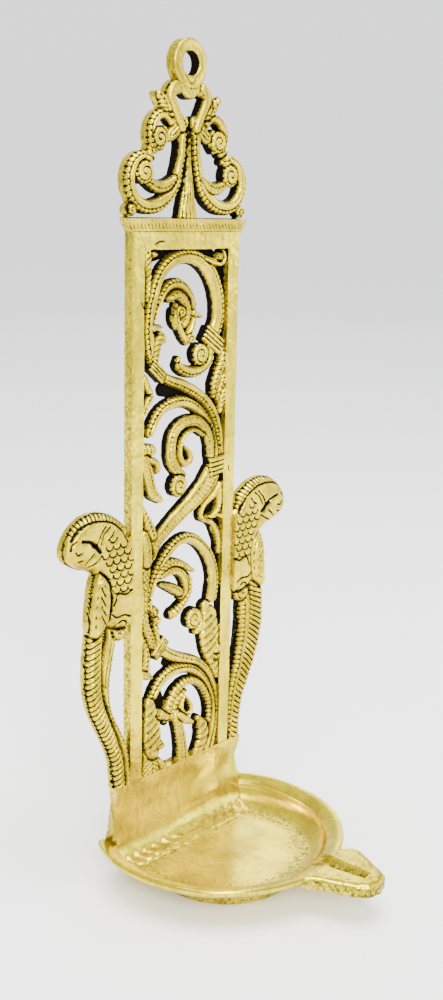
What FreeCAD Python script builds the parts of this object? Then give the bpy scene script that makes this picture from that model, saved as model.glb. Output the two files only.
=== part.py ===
"""Wall-hung brass oil lamp with a pierced scroll panel, two parrots and a shallow oil bowl.

Frame: +Z up, the lamp's front faces -Y, its flat back lies on the plane y = +DEPTH / 2,
and the origin is under the middle of the lamp, on the plane that the foot ring stands on.
All sizes are in millimetres. Flat castings are drawn in the X-Z plane and extruded along Y.
"""
import FreeCAD
import Part
import math
import os

V = FreeCAD.Vector

# Driving dimensions
HEIGHT = 300.0            # foot ring to the top of the hanging eye
DEPTH = 92.7              # flat back to the tip of the wick spout
PLATE = 4.0               # thickness of the rails, top bar and apron
BACK = DEPTH / 2          # y of the flat back
FACE = BACK - PLATE       # y of the rails' front face

PANEL_HALF = 27.3         # half width over the rails
RAIL = 6.0                # width of a rail
WINDOW_HALF = PANEL_HALF - RAIL
APRON_TOP = 36.0          # bottom of the pierced window
WINDOW_TOP = 230.0
BAR_TOP = 235.8           # top of the head bar, where the crest begins
CREST_BAR_TOP = 240.4

VINE_X = 0.8              # the vine sits a little to the right of the window's middle
WEB = 1.3                 # thickness of the places that were never cut through
VINE_FACE = FACE + 0.5    # the vine's flat face lies just under the rails' face
CREST_FACE = FACE - 0.8
PARROT_FACE = FACE - 2.0
WING_FACE = FACE - 2.6

BOWL_Y = FACE - 20.6      # y of the bowl's axis
BOWL_R = 47.2
RIM_TOP = 16.1
RIM_LAND = 6.7            # width of the flat rim
RIM_EDGE = 2.4            # height of the rim's outer edge
FLOOR = 7.0               # top of the bowl's floor
FLOOR_R = 30.0
FOOT_Y = BOWL_Y - 3.0     # the foot ring is a little further forward than the bowl
FOOT_H = 4.5
FOOT_R = 28.2
FOOT_WALL = 3.4

SPOUT_T = 4.6             # thickness of the wick spout at its edge
SPOUT_REACH = 68.6        # bowl's axis to the tip of the spout
SPOUT_TURN = 7.3          # degrees that the spout points to the right of straight ahead

EYE_Z = HEIGHT - 8.2
EYE_R = 8.2
EYE_HOLE_R = 4.1

SLIVER = 0.4              # solids smaller than this, in cubic millimetres, are waste of a cut


# Flat casting tools
def along(points, step=1.2):
    """A smooth line through (x, z) points, and evenly spaced (place, direction, share of length)."""
    line = Part.BSplineCurve()
    line.interpolate([V(x, 0, z) for x, z in points])
    first, span = line.FirstParameter, line.LastParameter - line.FirstParameter
    places = line.discretize(Number=max(8, int(line.length() / step)))
    marks = [line.parameter(place) for place in places]
    return line, [(place, line.tangent(u)[0], (u - first) / span) for place, u in zip(places, marks)]


def width_at(line, points, widths, u):
    """Width of a stroke at share u of its line, from the widths given at its points."""
    span = line.LastParameter - line.FirstParameter
    marks = [(line.parameter(V(x, 0, z)) - line.FirstParameter) / span for x, z in points]
    for (a, wa), (b, wb) in zip(zip(marks, widths), zip(marks[1:], widths[1:])):
        if u <= b:
            return wa + (wb - wa) * max(0.0, (u - a) / (b - a))
    return widths[-1]


def prism(face, front, back=BACK):
    """Extrudes a face drawn on y = 0 from y = front to y = back."""
    solid = face.extrude(V(0, back - front, 0))
    solid.translate(V(0, front, 0))
    return solid


def stroke(points, widths, front=VINE_FACE, back=BACK):
    """A stem or leaf: a band along a smooth line, as wide as given at each point, with round ends."""
    if isinstance(widths, (int, float)):
        widths = [widths] * len(points)
    line, spots = along(points)
    left, right = [], []
    for place, way, u in spots:
        side = V(-way.z, 0, way.x).normalize() * (width_at(line, points, widths, u) / 2)
        left.append(place + side)
        right.append(place - side)
    edges = []
    for chain in (left, list(reversed(right))):
        curve = Part.BSplineCurve()
        curve.interpolate(chain)
        edges.append(curve.toShape())
    tips = [spots[-1][0] + spots[-1][1] * widths[-1] / 2, spots[0][0] - spots[0][1] * widths[0] / 2]
    ends = [Part.Arc(left[-1], tips[0], right[-1]).toShape(),
            Part.Arc(right[0], tips[1], left[0]).toShape()]
    wire = Part.Wire([edges[0], ends[0], edges[1], ends[1]])
    return prism(Part.Face(wire), front, back)


def disc(x, z, r, front=VINE_FACE, back=BACK):
    """A round boss, such as the eye of a volute."""
    return Part.makeCylinder(r, back - front, V(x, front, z), V(0, 1, 0))


def outline(points, front, back=BACK):
    """A flat piece inside one smooth closed line through the given (x, z) points."""
    curve = Part.BSplineCurve()
    curve.interpolate(Points=[V(x, 0, z) for x, z in points], PeriodicFlag=True)
    return prism(Part.Face(Part.Wire([curve.toShape()])), front, back)


def polygon(points, front, back=BACK):
    """A flat piece with straight edges between the given (x, z) points."""
    corners = [V(x, 0, z) for x, z in points]
    return prism(Part.Face(Part.makePolygon(corners + corners[:1])), front, back)


def block(x0, x1, y0, y1, z0, z1):
    return Part.makeBox(x1 - x0, y1 - y0, z1 - z0, V(x0, y0, z0))


def joined(shapes):
    """One shape from pieces that overlap."""
    whole = shapes[0]
    if len(shapes) > 1:
        whole = whole.fuse(shapes[1:])
    return whole.removeSplitter()


def less(shape, *others):
    """The shape with its neighbours cut away, without slivers."""
    for other in others:
        shape = shape.cut(other)
    kept = [s for s in shape.Solids if s.Volume > SLIVER]
    return Part.makeCompound(kept) if len(kept) > 1 else kept[0]


def mirrored(shape):
    return shape.mirror(V(0, 0, 0), V(1, 0, 0))


# Frame of the pierced panel
def rail(side):
    inner, outer = sorted((side * WINDOW_HALF, side * PANEL_HALF))
    return block(inner, outer, FACE, BACK, APRON_TOP, BAR_TOP)


def top_bar():
    return block(-WINDOW_HALF, WINDOW_HALF, FACE, BACK, WINDOW_TOP, BAR_TOP)


# The vine: four scrolls, one above the other, each a stem that curls round a bud.
# Each stroke is its (x, z) points from VINE_X and its width at each of them.
TOP_SCROLL = [
    ([(-16, 190.5), (-18.4, 196), (-19, 203), (-18, 211), (-16, 217), (-12.6, 222.4), (-8, 225.8), (-3.4,
      227.3), (2, 227.4), (7, 225.8), (11.4, 222.4), (14.6, 217.6), (16.5, 212), (16.8, 206), (15.2,
      200.6)], [4.6, 5, 5, 5, 4.8, 4.8, 5, 5.2, 5.6, 6, 6.4, 6.6, 6.6, 6.4, 6.6]),
    ([(12, 195), (12, 190.6), (9, 187.6), (4.3, 186.3), (-0.7, 187.2), (-3.8, 189.2), (-3.6, 191.6)], [5,
      4.8, 4.4, 4.4, 4.6, 4, 2.2]),
    ([(-17.2, 205), (-15, 210.5), (-12, 215), (-8.3, 217.8), (-3.6, 218), (0, 215.6), (2.6, 211.5), (3.3,
      207), (2.6, 203), (1.2, 199.6)], [1.8, 2.4, 3, 3.6, 4, 4.2, 4, 3.8, 3.8, 4.4]),
    ([(-8.6, 213), (-4.6, 214.2), (-1.4, 212.4), (0.2, 208.6), (-0.8, 204.8), (-3.8, 203.2), (-6.4,
      205.2), (-6.6, 208.6)], [3, 4, 4.4, 4.4, 4, 3.6, 3.2, 2.8]),
    ([(-5.6, 211), (-4.8, 205.6), (-3, 201.4), (-1, 198.8), (0.6, 197.6)], [1.6, 2, 2.6, 3, 3.4]),
    ([(3.6, 207.6), (5.6, 206.8), (7.6, 206.1)], [3.2, 2.4, 1.4]),
    ([(-17, 203), (-13.2, 203.4)], [3, 1.8]),
    ([(-16, 192), (-15, 197), (-12.8, 200.2), (-11.6, 198.8)], [4, 4.6, 3.8, 2.8]),
    ([(9, 226.8), (13.6, 225.4), (17.2, 224.9), (18.9, 226.6), (18.1, 228.8)], [2.6, 3, 3.2, 3, 2.6]),
    ([(-20.6, 227.5), (-16.6, 228.4)], [4, 2.6]),
]
TOP_BOSSES = [(7.1, 192.6, 4.2), (16.4, 227.2, 1.7)]

UPPER_SCROLL = [
    ([(-12.7, 186.4), (-7.7, 184.2), (-1.7, 182.2), (4.4, 179.4), (10.4, 175.7), (15.3, 170.2), (18.3,
      163), (19.4, 155)], [3.8, 3.8, 4.2, 4.4, 4.2, 3.8, 3.2, 2.8]),
    ([(-18.4, 166.6), (-15.6, 171), (-11.5, 174.4), (-5.5, 176), (0.5, 175.5), (6.5, 172.6), (12, 167.4),
      (15.6, 161), (16.9, 154)], [4, 4.2, 4.2, 4.4, 4.4, 4, 3.6, 3, 2.8]),
    ([(13.9, 153.6), (13.4, 160.2), (10.7, 165), (6.7, 168), (2.2, 168.6), (-2.8, 167.4), (-6.3, 164),
      (-7.3, 159), (-6.5, 154.6), (-3.8, 151.2), (-1.2, 148.6)], [3.4, 4.4, 4.8, 4.6, 4.6, 4.6, 4.8, 5, 5,
      4.8, 4.4]),
    ([(10, 162.4), (5.2, 165), (0.7, 164.1), (-2.3, 161.3), (-3, 157.4), (-1.5, 154), (1.3, 152.9), (3.1,
      154.6), (2.2, 157.2), (0, 159)], [1.8, 1.9, 2.2, 2.4, 2.6, 3, 3.2, 3, 2.4, 1.5]),
    ([(14.8, 147), (10.6, 142.2), (5, 138.4), (-2, 134.3), (-8.8, 130), (-14.2, 125.6), (-17.4, 121)], [9,
      8.4, 7.6, 6.6, 5.8, 5.4, 5.2]),
]
UPPER_BOSSES = [(-3.4, 145.4, 4.4)]

LOWER_SCROLL = [
    ([(-17, 122.4), (-19.4, 116), (-20.7, 109), (-20.8, 101.6), (-19.6, 95), (-17, 89.5), (-14, 85.6)],
      [5, 4.6, 4, 3.8, 4.2, 4.8, 5.2]),
    ([(-18, 101), (-17.6, 106.5), (-15.4, 112), (-11.6, 117.6), (-7.6, 121.4), (-2.6, 124), (2.6, 124.3),
      (8, 121.8), (12.8, 117.2), (16, 111.4), (17.2, 105), (16.2, 98.6)], [2.8, 3.2, 3.4, 3.8, 4.2, 4.2,
      4.4, 4.8, 5.2, 5.4, 5.6, 6]),
    ([(12.6, 95.4), (12.2, 90.8), (9.6, 87.8), (7.6, 86.4)], [5, 5.2, 4.6, 3]),
    ([(-17.6, 105.5), (-15.5, 110), (-12, 114.4), (-7.6, 116.4), (-2.6, 115.4), (2.4, 112.8), (6, 111)],
      [1.8, 2.4, 3.2, 3.8, 3.8, 3.2, 1.4]),
    ([(-11, 112), (-6.6, 113.4), (-2, 112), (1, 108.6), (1.6, 104.4), (-0.8, 102)], [2.4, 3.4, 3.8, 4,
      3.8, 2.6]),
    ([(3.4, 109.6), (3.6, 103.4), (0.8, 100), (-3, 97.4), (-5.6, 96.2)], [2.2, 2.6, 3.2, 4, 4.4]),
    ([(-11.4, 109), (-8.4, 107.8), (-5, 106.2), (-2, 104.4)], [2, 3.4, 4.2, 4.4]),
    ([(15, 91), (15.4, 84), (16, 78), (17.8, 71.6), (19.6, 65)], [8.6, 11, 9.6, 6, 2.6]),
    ([(-14.4, 98.6), (-14.2, 92.8), (-13.6, 87.4)], [3, 3.2, 2.6]),
    ([(-13.6, 94.6), (-12.2, 96)], [2.2, 1.4]),
]
LOWER_BOSSES = [(5.8, 92.2, 4.3), (-15.2, 99.6, 2.2), (18.8, 73.8, 2.2)]

BOTTOM_SCROLL = [
    ([(-11, 84), (-8.6, 82), (-4.2, 79.4), (1.8, 76.8), (7.8, 74.2), (12.5, 70.6), (16.4, 65.4), (18.9,
      58.4), (19.9, 51), (19.8, 44.4), (18.4, 38.6), (16.6, 33)], [4.8, 4.6, 4.4, 4, 4, 3.8, 3.4, 3, 2.8,
      2.8, 3, 3.6]),
    ([(-18.9, 56), (-17.4, 63), (-14.8, 68), (-11, 71.6), (-6, 73.4), (0, 73.3), (6, 71.4), (11, 67.4),
      (15, 61.8), (17.3, 55.8), (18, 49.6), (17.4, 43.4), (15.6, 38.2), (14, 33)], [3.4, 3.8, 4.4, 4.8,
      4.8, 4.4, 4, 3.8, 3.6, 3.4, 3.2, 3, 3, 3.8]),
    ([(-8.4, 55), (-6.6, 60.8), (-3.4, 65), (1.2, 67.1), (6.2, 66.8), (10.6, 63.8), (13.8, 59.2), (15.6,
      53.8), (15.4, 47.4)], [3.8, 4.2, 4.2, 4, 3.6, 3.4, 3.2, 3, 2.6]),
    ([(-5, 54.6), (-4, 59.4), (-1.2, 62.4), (2.4, 63.8)], [3.4, 3.4, 3, 1.8]),
    ([(1.2, 62.2), (-0.4, 58.4), (1, 54.8), (4, 53.4), (5.5, 55.8), (4.2, 58.8), (2.6, 60.8)], [2, 2.8, 3,
      3, 2.6, 2, 1.4]),
    ([(-2.6, 55), (-0.6, 48), (0.6, 42), (1.2, 33)], [5.2, 5.2, 5.6, 7]),
    ([(-1.2, 54.6), (2.8, 51.6), (5.8, 49.8)], [3.6, 4, 2.6]),
    ([(9.8, 50), (11.8, 46.6), (12.6, 42), (10.8, 38), (8.8, 33)], [3, 5.8, 6.8, 5.8, 6.4]),
    ([(-16.6, 42), (-16.4, 37.6), (-16, 33)], [9, 9.6, 10]),
    ([(-17.4, 64), (-16.2, 56.6), (-15.7, 50), (-15.2, 45)], [5, 9, 10, 8.6]),
    ([(-12.4, 58.4), (-8, 56)], [4.4, 3.4]),
    ([(-11.8, 39), (-8.6, 34.6)], [3, 4.4]),
]
BOTTOM_BOSSES = [(-11.6, 45.6, 2.2)]

LEFT_LEAVES = [
    ([(-20.4, 229), (-19.8, 221), (-20.6, 213)], [4.6, 3.4, 2]),
    ([(-21, 186), (-19.4, 182.5), (-17.4, 180.4)], [3, 3.6, 2.2]),
    ([(-21, 174), (-19.6, 177.4), (-17.6, 179.4)], [3, 3.6, 2.2]),
    ([(-22, 160.5), (-17.2, 160)], [5.4, 4.8]),
    ([(-20.4, 156.4), (-18.4, 150.2), (-16.4, 144.6), (-12.8, 141.6)], [5.6, 5.6, 5.2, 3.4]),
    ([(-17.4, 156.6), (-14.4, 155), (-14.2, 152.4)], [3, 3.2, 2.8]),
    ([(-21.4, 139.6), (-19, 134.4), (-16.6, 129)], [2, 4.4, 5.2]),
    ([(-20.8, 129.6), (-19.4, 124.6), (-19, 119)], [4, 5.4, 5]),
    ([(-21.6, 91), (-19.4, 84), (-19.8, 77)], [2.4, 4.2, 5]),
    ([(-21, 76.4), (-17, 74.6)], [4, 2.8]),
]
RIGHT_LEAVES = [
    ([(19, 193.4), (19.8, 189.4), (17.4, 185.4), (15.2, 181), (14.6, 176.6)], [3, 4.6, 4.6, 4, 2.2]),
    ([(21.8, 184.6), (19, 180.6), (17, 175.2)], [3.6, 3.6, 2.2]),
    ([(21.4, 179), (19.4, 175.4), (18.4, 170.6)], [3.4, 4, 3]),
    ([(19.2, 142.6), (15.6, 138.8), (11.2, 136), (9.2, 133.4)], [3, 3, 2.6, 2.4]),
    ([(9.2, 133.4), (10.4, 130.6), (14, 130.2), (17.6, 131.8), (19.1, 135.4), (19.3, 140)],
      [2.4, 2.4, 2.8, 3, 3, 2.8]),
    ([(10.6, 130), (14.6, 128.4), (17.8, 124.8), (19.3, 120), (19.6, 116)], [2, 2.6, 3, 3, 2.8]),
    ([(18.4, 130.6), (21.4, 129.4)], [2.2, 3]),
    ([(21.4, 77), (19.2, 75.6)], [4, 3.4]),
]
COLLARS = [
    ([(8.4, 200.8), (17, 194.6)], [6, 6.2]),
    ([(-17.2, 190.4), (-12.4, 186)], [4.6, 4.8]),
    ([(11.2, 149.6), (21, 150.2)], [7.4, 7.2]),
    ([(-14.6, 82.8), (-10.4, 87)], [4.2, 4.2]),
]


WEBS = {  # thin places between the stems that were never cut through
    "vine_scroll_top": [([(-18.6, 227.4), (-13, 228.6), (-6, 230)], 4.2),
                        ([(5, 230), (13, 228.6), (18.4, 222)], 3.6),
                        ([(19.6, 224), (20.6, 212), (20.2, 200), (19, 192)], 3.4)],
    "vine_scroll_upper": [([(-10.5, 181), (-3, 179.4), (4, 176.6), (10, 172.8), (14, 167.4)], 5),
                          ([(18, 190), (20.6, 178), (21, 166), (20.6, 154)], 3.6)],
    "vine_scroll_lower": [([(17.4, 143), (16, 136.4), (17.6, 128), (20.4, 118), (20.6, 104)],
                           [6, 8, 5, 3, 3])],
    "vine_scroll_bottom": [([(-7, 77.4), (0, 75.4), (8, 71.4), (13.4, 65.4), (16.4, 57)], 3.6),
                           ([(-12.4, 67.4), (-9.4, 60), (-7.4, 54)], 4.4),
                           ([(20, 60), (21, 48), (20.4, 36)], 3)],
}


def vine(strokes, bosses, webs):
    """One scroll of the vine: stems and leaves, round curls and the low places between them."""
    pieces = [stroke([(x + VINE_X, z) for x, z in points], widths) for points, widths in strokes]
    pieces += [disc(x + VINE_X, z, r) for x, z, r in bosses]
    pieces += [stroke([(x + VINE_X, z) for x, z in points], widths, BACK - WEB) for points, widths in webs]
    return joined(pieces)


def collar(points, widths):
    """A raised band that ties the stems together where they branch."""
    return stroke([(x + VINE_X, z) for x, z in points], widths, FACE)


# Crest: a milled bar, a fluted stem, a scroll each side and the hanging eye
CREST_SCROLL = [
    ([(3.4, 269), (3.8, 262), (4.9, 257), (6.6, 252), (10, 247.6), (15, 244.8), (21, 244.3), (25.8,
      246.8), (28.2, 251.4), (27.8, 256), (25, 259.6), (21.2, 261), (17.8, 260.2)], [3.6, 3.8, 4, 4.4, 5,
      5.2, 5, 4.8, 4.6, 4.4, 3.8, 3.2, 2.6]),
    ([(7, 254), (10.6, 251.4), (15, 250.8), (19.4, 252.4)], [2.4, 4.4, 4.6, 3.4]),
    ([(18.2, 264), (19.8, 259.4)], [3, 3.4]),
    ([(7, 271.6), (10.4, 274.4), (14.2, 274.3), (17.5, 271.4), (18.4, 267), (16.8, 263)], [4.4, 3.9, 3.7,
      3.6, 3.6, 3.6]),
    ([(8.8, 275.6), (12.2, 278.4), (14.8, 280.6)], [4.6, 5, 2.8]),
    ([(9.6, 276.6), (10.8, 280.4)], [3, 2]),
    ([(12, 270), (11.4, 267), (13.4, 264)], [2, 3.4, 3]),
]
CREST_BOSSES = [(21.6, 255.5, 4.0), (14.8, 266.8, 3.9), (27.6, 243.1, 2.2)]


def crest_bar():
    low, high = PANEL_HALF, PANEL_HALF + 3.0
    return polygon([(-low, BAR_TOP), (low, BAR_TOP), (high, CREST_BAR_TOP), (-high, CREST_BAR_TOP)],
                   CREST_FACE)


def crest_scroll():
    """The right-hand scroll; the left-hand one is its mirror image."""
    pieces = [stroke(points, widths, CREST_FACE) for points, widths in CREST_SCROLL]
    pieces += [disc(x, z, r, CREST_FACE) for x, z, r in CREST_BOSSES]
    return joined(pieces)


def crest_stem():
    """A fluted stalk that widens down to the bar."""
    foot = CREST_BAR_TOP - 2
    return stroke([(0, 269), (0, 258), (0, 250), (0, 244), (0, foot)], [2, 3.2, 5.6, 8.2, 9.8], CREST_FACE)


def hanging_eye():
    """The eye on its short neck, and a yoke that comes down each side to the scrolls."""
    parts = [disc(0, EYE_Z, EYE_R, CREST_FACE), block(-5, 5, CREST_FACE, BACK, 281.4, 287.4)]
    for arm in (stroke([(0.5, 284), (6.4, 283.6), (9, 280.8), (7, 276.8), (3.6, 270.6)],
                       [5, 5.2, 4.4, 3.8, 3.6],
                       CREST_FACE),
                stroke([(3, 272.4), (8.8, 268)], [5, 4.6], CREST_FACE)):
        parts += [arm, mirrored(arm)]
    return joined(parts).cut(disc(0, EYE_Z, EYE_HOLE_R, CREST_FACE - 1, BACK + 1))


# Parrots, drawn on the right; the left-hand one is mirrored and has tail feathers of its own
PARROT = [(21, 127), (27.4, 130.6), (29.9, 132.6), (30.4, 135.8), (34.2, 138.8), (38.2, 140.8),
          (43.2, 141.8),
          (49.2, 141.2), (54.2, 138.4), (57.6, 134.2), (58.7, 130.2), (57.2, 126.6), (53, 123.8),
          (48, 122.2),
          (44.8, 120.4), (43, 115), (41.6, 108), (40, 101.4), (35.4, 98), (28, 97.4), (21, 99), (19.6, 112)]
WING = [(43, 121.2), (39, 117.6), (37.4, 112), (37.9, 106), (39.2, 101.4), (42.4, 98), (45, 96.6), (47, 99),
        (47.2, 105), (46.4, 111.6), (45.2, 117.4)]
KNEE = (33.2, 97.2, 4.2)
RIGHT_TAIL = [
    ([(42.4, 101), (43.2, 92), (43, 83), (41.4, 75), (38.8, 67.4), (35.6, 60), (33.2, 52.6), (32, 45),
      (31.4, 33)],
      [7, 8.2, 8.8, 8.8, 8, 7, 6, 5.6, 5.6]),
    ([(34.8, 99), (36, 91), (36, 82.4), (34.8, 74), (32.8, 66), (30.6, 58.4), (29, 50), (28.4, 42),
      (28.2, 33)],
      [5.4, 6.2, 6.4, 6, 5.4, 4.8, 4.2, 4.2, 5]),
]
LEFT_TAIL = [
    ([(43.6, 101), (44.4, 94), (45, 85), (44.6, 76), (42.6, 69), (39.4, 62), (35.8, 54), (33.2, 46),
      (32, 33)],
      [6, 6.6, 7, 6.8, 6.4, 6, 5.4, 5.2, 5.4]),
    ([(36, 98), (37.6, 91), (39.2, 84), (39.9, 76), (39, 69), (36.4, 62.6), (32.8, 56), (30.4, 49.6),
      (29.2, 42),
      (28.8, 33)], [5, 5.4, 5.4, 5, 4.8, 4.6, 4.4, 4, 4, 4.4]),
]


def parrot_tail(feathers):
    feathers = [stroke(*feather, front=PARROT_FACE + 1) for feather in feathers]
    return joined(feathers + [disc(*KNEE, front=PARROT_FACE + 1)])


# Bowl, its foot and its spout
def lathe(points, y=BOWL_Y):
    """A solid turned about an upright axis from (radius, z) points."""
    face = Part.Face(Part.makePolygon([V(r, y, z) for r, z in points + points[:1]]))
    return face.revolve(V(0, y, 0), V(0, 0, 1), 360)


def bowl():
    inner = BOWL_R - RIM_LAND
    rise = RIM_TOP - 0.8 - FLOOR
    wall = [(FLOOR_R + (inner - FLOOR_R) * math.sin(a), FLOOR + rise * (1 - math.cos(a)))
            for a in [math.radians(15 * k) for k in range(7)]]
    under = [(BOWL_R, RIM_TOP), (BOWL_R, RIM_TOP - RIM_EDGE), (FOOT_R + 6, FOOT_H + 1.6),
             (FOOT_R + 4, FOOT_H),
             (0, FOOT_H)]
    return lathe([(0, FLOOR)] + wall + under)


def foot_ring():
    return lathe([(FOOT_R - FOOT_WALL, 0), (FOOT_R - 1.0, 0), (FOOT_R - 0.4, 0.8), (FOOT_R, FOOT_H),
                  (FOOT_R - FOOT_WALL, FOOT_H)], FOOT_Y)


# Outline of the spout from above: distance to the right of its middle line, reach from the bowl's axis
SPOUT = [(12.6, 43), (13.2, 45.6), (16.2, 48.4), (15.6, 52.4), (11.2, 59.2), (9, 63.2), (5.4, 67.4),
         (0, SPOUT_REACH), (-5, 66.8), (-7.6, 63), (-9.4, 56.7), (-11, 50.4), (-12.6, 46.8), (-15.5, 42)]


def wick_groove():
    """The groove that lets the wick lie over the rim and along the spout."""
    groove = Part.makeCone(4.2, 2.6, 24, V(1.6, BOWL_Y - 38, RIM_TOP + 1.6), V(-0.03, -1, 0))
    groove.rotate(V(0, BOWL_Y, 0), V(0, 0, 1), SPOUT_TURN)
    return groove


def wick_spout():
    """A flat lug with low ears where it leaves the rim."""
    corners = [V(x, BOWL_Y - reach, RIM_TOP - SPOUT_T) for x, reach in SPOUT]
    lug = Part.Face(Part.makePolygon(corners + corners[:1])).extrude(V(0, 0, SPOUT_T))
    lug.rotate(V(0, BOWL_Y, 0), V(0, 0, 1), SPOUT_TURN)
    return lug.cut(wick_groove())


def apron():
    """The smooth lower plate, its concave root and the foot pad that lies on the bowl's floor."""
    root, pad_y, pad_top = 6.5, FACE - 10.0, FLOOR + 1.2
    slope = math.cos(math.radians(45))
    heel, bend, toe = (V(0, FACE, pad_top + root),
                       V(0, FACE - root * (1 - slope), pad_top + root * (1 - slope)),
                       V(0, FACE - root, pad_top))
    front = [toe, V(0, pad_y, pad_top), V(0, pad_y, 0), V(0, BACK, 0), V(0, BACK, APRON_TOP),
             V(0, FACE, APRON_TOP), heel]
    section = Part.Wire([Part.Arc(heel, bend, toe).toShape(), Part.makePolygon(front)])
    solid = Part.Face(section).extrude(V(90, 0, 0))
    solid.translate(V(-45, 0, 0))
    half = [(34.6, APRON_TOP), (33.6, 28), (34.8, 20), (36.4, RIM_TOP), (36.4, 0)]
    return solid.common(polygon(half + [(-x, z) for x, z in reversed(half)], 0))


def write(name, shape):
    kept = [s for s in shape.Solids if s.Volume > SLIVER]
    whole = Part.makeCompound(kept) if len(kept) > 1 else kept[0]
    if not all(s.isValid() for s in kept):
        print("not valid:", name)
    whole.exportStep("parts/" + name + ".step")
    print(f"{name:22s} {len(kept):3d} solids {whole.Volume / 1000:8.2f} cm3")


def main():
    os.makedirs("parts", exist_ok=True)
    pieces = {}
    rails = {side: rail(side) for side in (-1, 1)}
    pieces["left_rail"], pieces["right_rail"] = rails[-1], rails[1]
    pieces["top_bar"] = top_bar()

    window = block(-WINDOW_HALF, WINDOW_HALF, FACE - 5, BACK + 5, APRON_TOP, WINDOW_TOP)
    collars = [collar(*band).common(window) for band in COLLARS]
    pieces["stem_collars"] = Part.makeCompound(collars)
    taken = list(collars)
    for name, strokes, bosses in (
            ("vine_scroll_top", TOP_SCROLL, TOP_BOSSES), ("vine_scroll_upper", UPPER_SCROLL, UPPER_BOSSES),
            ("vine_scroll_lower", LOWER_SCROLL, LOWER_BOSSES),
            ("vine_scroll_bottom", BOTTOM_SCROLL, BOTTOM_BOSSES),
            ("edge_leaves_left", LEFT_LEAVES, []), ("edge_leaves_right", RIGHT_LEAVES, [])):
        pieces[name] = less(vine(strokes, bosses, WEBS.get(name, [])).common(window), *taken)
        taken.append(pieces[name])

    pieces["crest_bar"] = crest_bar()
    above = block(0, 60, FACE - 9, BACK + 9, CREST_BAR_TOP, HEIGHT)
    pieces["crest_stem"] = crest_stem().common(block(-60, 60, FACE - 9, BACK + 9, CREST_BAR_TOP, HEIGHT))
    pieces["hanging_eye"] = less(hanging_eye(), pieces["crest_stem"])
    right = less(crest_scroll().common(above), pieces["crest_stem"], pieces["hanging_eye"])
    pieces["crest_scroll_right"], pieces["crest_scroll_left"] = right, mirrored(right)

    outside = block(PANEL_HALF, 80, FACE - 9, BACK + 9, APRON_TOP, 160)
    wing = outline(WING, WING_FACE)
    body = less(outline(PARROT, PARROT_FACE).common(outside), wing)
    for side, turn, feathers in (("right", lambda s: s, RIGHT_TAIL), ("left", mirrored, LEFT_TAIL)):
        pieces["parrot_body_" + side] = turn(body)
        pieces["parrot_wing_" + side] = turn(wing)
        pieces["parrot_tail_" + side] = turn(less(parrot_tail(feathers).common(outside), wing, body))

    behind = block(-80, 80, -80, BACK, -5, 60)
    pieces["oil_bowl"] = bowl().common(behind).cut(wick_groove())
    over_bowl = apron().cut(pieces["oil_bowl"]).Solids
    pieces["apron_plate"] = max(over_bowl, key=lambda solid: solid.BoundBox.ZMax)
    pieces["wick_spout"] = wick_spout().cut(Part.makeCylinder(BOWL_R, 60, V(0, BOWL_Y, -5)))
    pieces["foot_ring"] = foot_ring().common(behind)
    for name, shape in pieces.items():
        write(name, shape)


main()
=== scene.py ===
"""Looks of the brass wall lamp: relief castings worked out on a fine grid, a turned bowl with its foot,
apron and wick spout, aged brass, a pale floor and soft light.

Shapes are drawn in millimetres in the X-Z plane of the flat back, as in the CAD model, and built in metres.
"""
import math
import bmesh
import bpy
import numpy as np
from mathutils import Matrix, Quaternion, Vector, noise


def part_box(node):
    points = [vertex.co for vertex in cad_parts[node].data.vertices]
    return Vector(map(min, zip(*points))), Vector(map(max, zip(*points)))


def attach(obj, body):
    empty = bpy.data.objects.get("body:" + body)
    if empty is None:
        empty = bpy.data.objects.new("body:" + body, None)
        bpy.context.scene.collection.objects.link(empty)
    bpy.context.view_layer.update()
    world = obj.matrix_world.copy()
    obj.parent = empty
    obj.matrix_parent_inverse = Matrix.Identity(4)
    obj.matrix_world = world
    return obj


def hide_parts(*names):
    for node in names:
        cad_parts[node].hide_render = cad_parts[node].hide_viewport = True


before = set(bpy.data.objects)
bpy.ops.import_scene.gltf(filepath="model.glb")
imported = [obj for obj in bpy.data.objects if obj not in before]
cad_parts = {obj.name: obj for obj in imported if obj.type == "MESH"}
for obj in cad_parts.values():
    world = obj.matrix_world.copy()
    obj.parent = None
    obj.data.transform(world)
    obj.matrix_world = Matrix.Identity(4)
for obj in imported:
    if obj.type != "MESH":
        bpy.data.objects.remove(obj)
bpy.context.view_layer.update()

MM = 0.001
rail_low, rail_high = (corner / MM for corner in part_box("right_rail"))
bar_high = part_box("crest_bar")[1] / MM
eye_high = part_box("hanging_eye")[1] / MM
bowl_low, bowl_high = (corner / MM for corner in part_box("oil_bowl"))
foot_low, foot_high = (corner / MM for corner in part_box("foot_ring"))

BACK = rail_high.y              # the flat back
FACE = rail_low.y               # front of the rails
PLATE = BACK - FACE             # thickness of the panel
PANEL_HALF = rail_high.x
WINDOW_HALF = rail_low.x
WINDOW_LOW = rail_low.z
BAR_TOP = rail_high.z
HEAD_BAR = 5.8                  # height of the bar over the window
WINDOW_TOP = BAR_TOP - HEAD_BAR
CREST_LOW, CREST_HALF = bar_high.z, bar_high.x
RIM_TOP = bowl_high.z
BOWL_R = bowl_high.x
BOWL_Y = bowl_low.y + BOWL_R    # the bowl's axis
FOOT_TOP = foot_high.z
FOOT_R = foot_high.x
FOOT_Y = foot_low.y + FOOT_R    # the foot ring's axis
RIM_LAND = 6.7                  # width of the bowl's flat rim
FLOOR = 7.0                     # height of the bowl's floor
FLOOR_R = 30.0                  # where the floor begins to rise
EYE_R, EYE_HOLE = 8.2, 4.1      # the hanging eye's radius and its hole's
EYE_Z = eye_high.z - EYE_R

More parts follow.
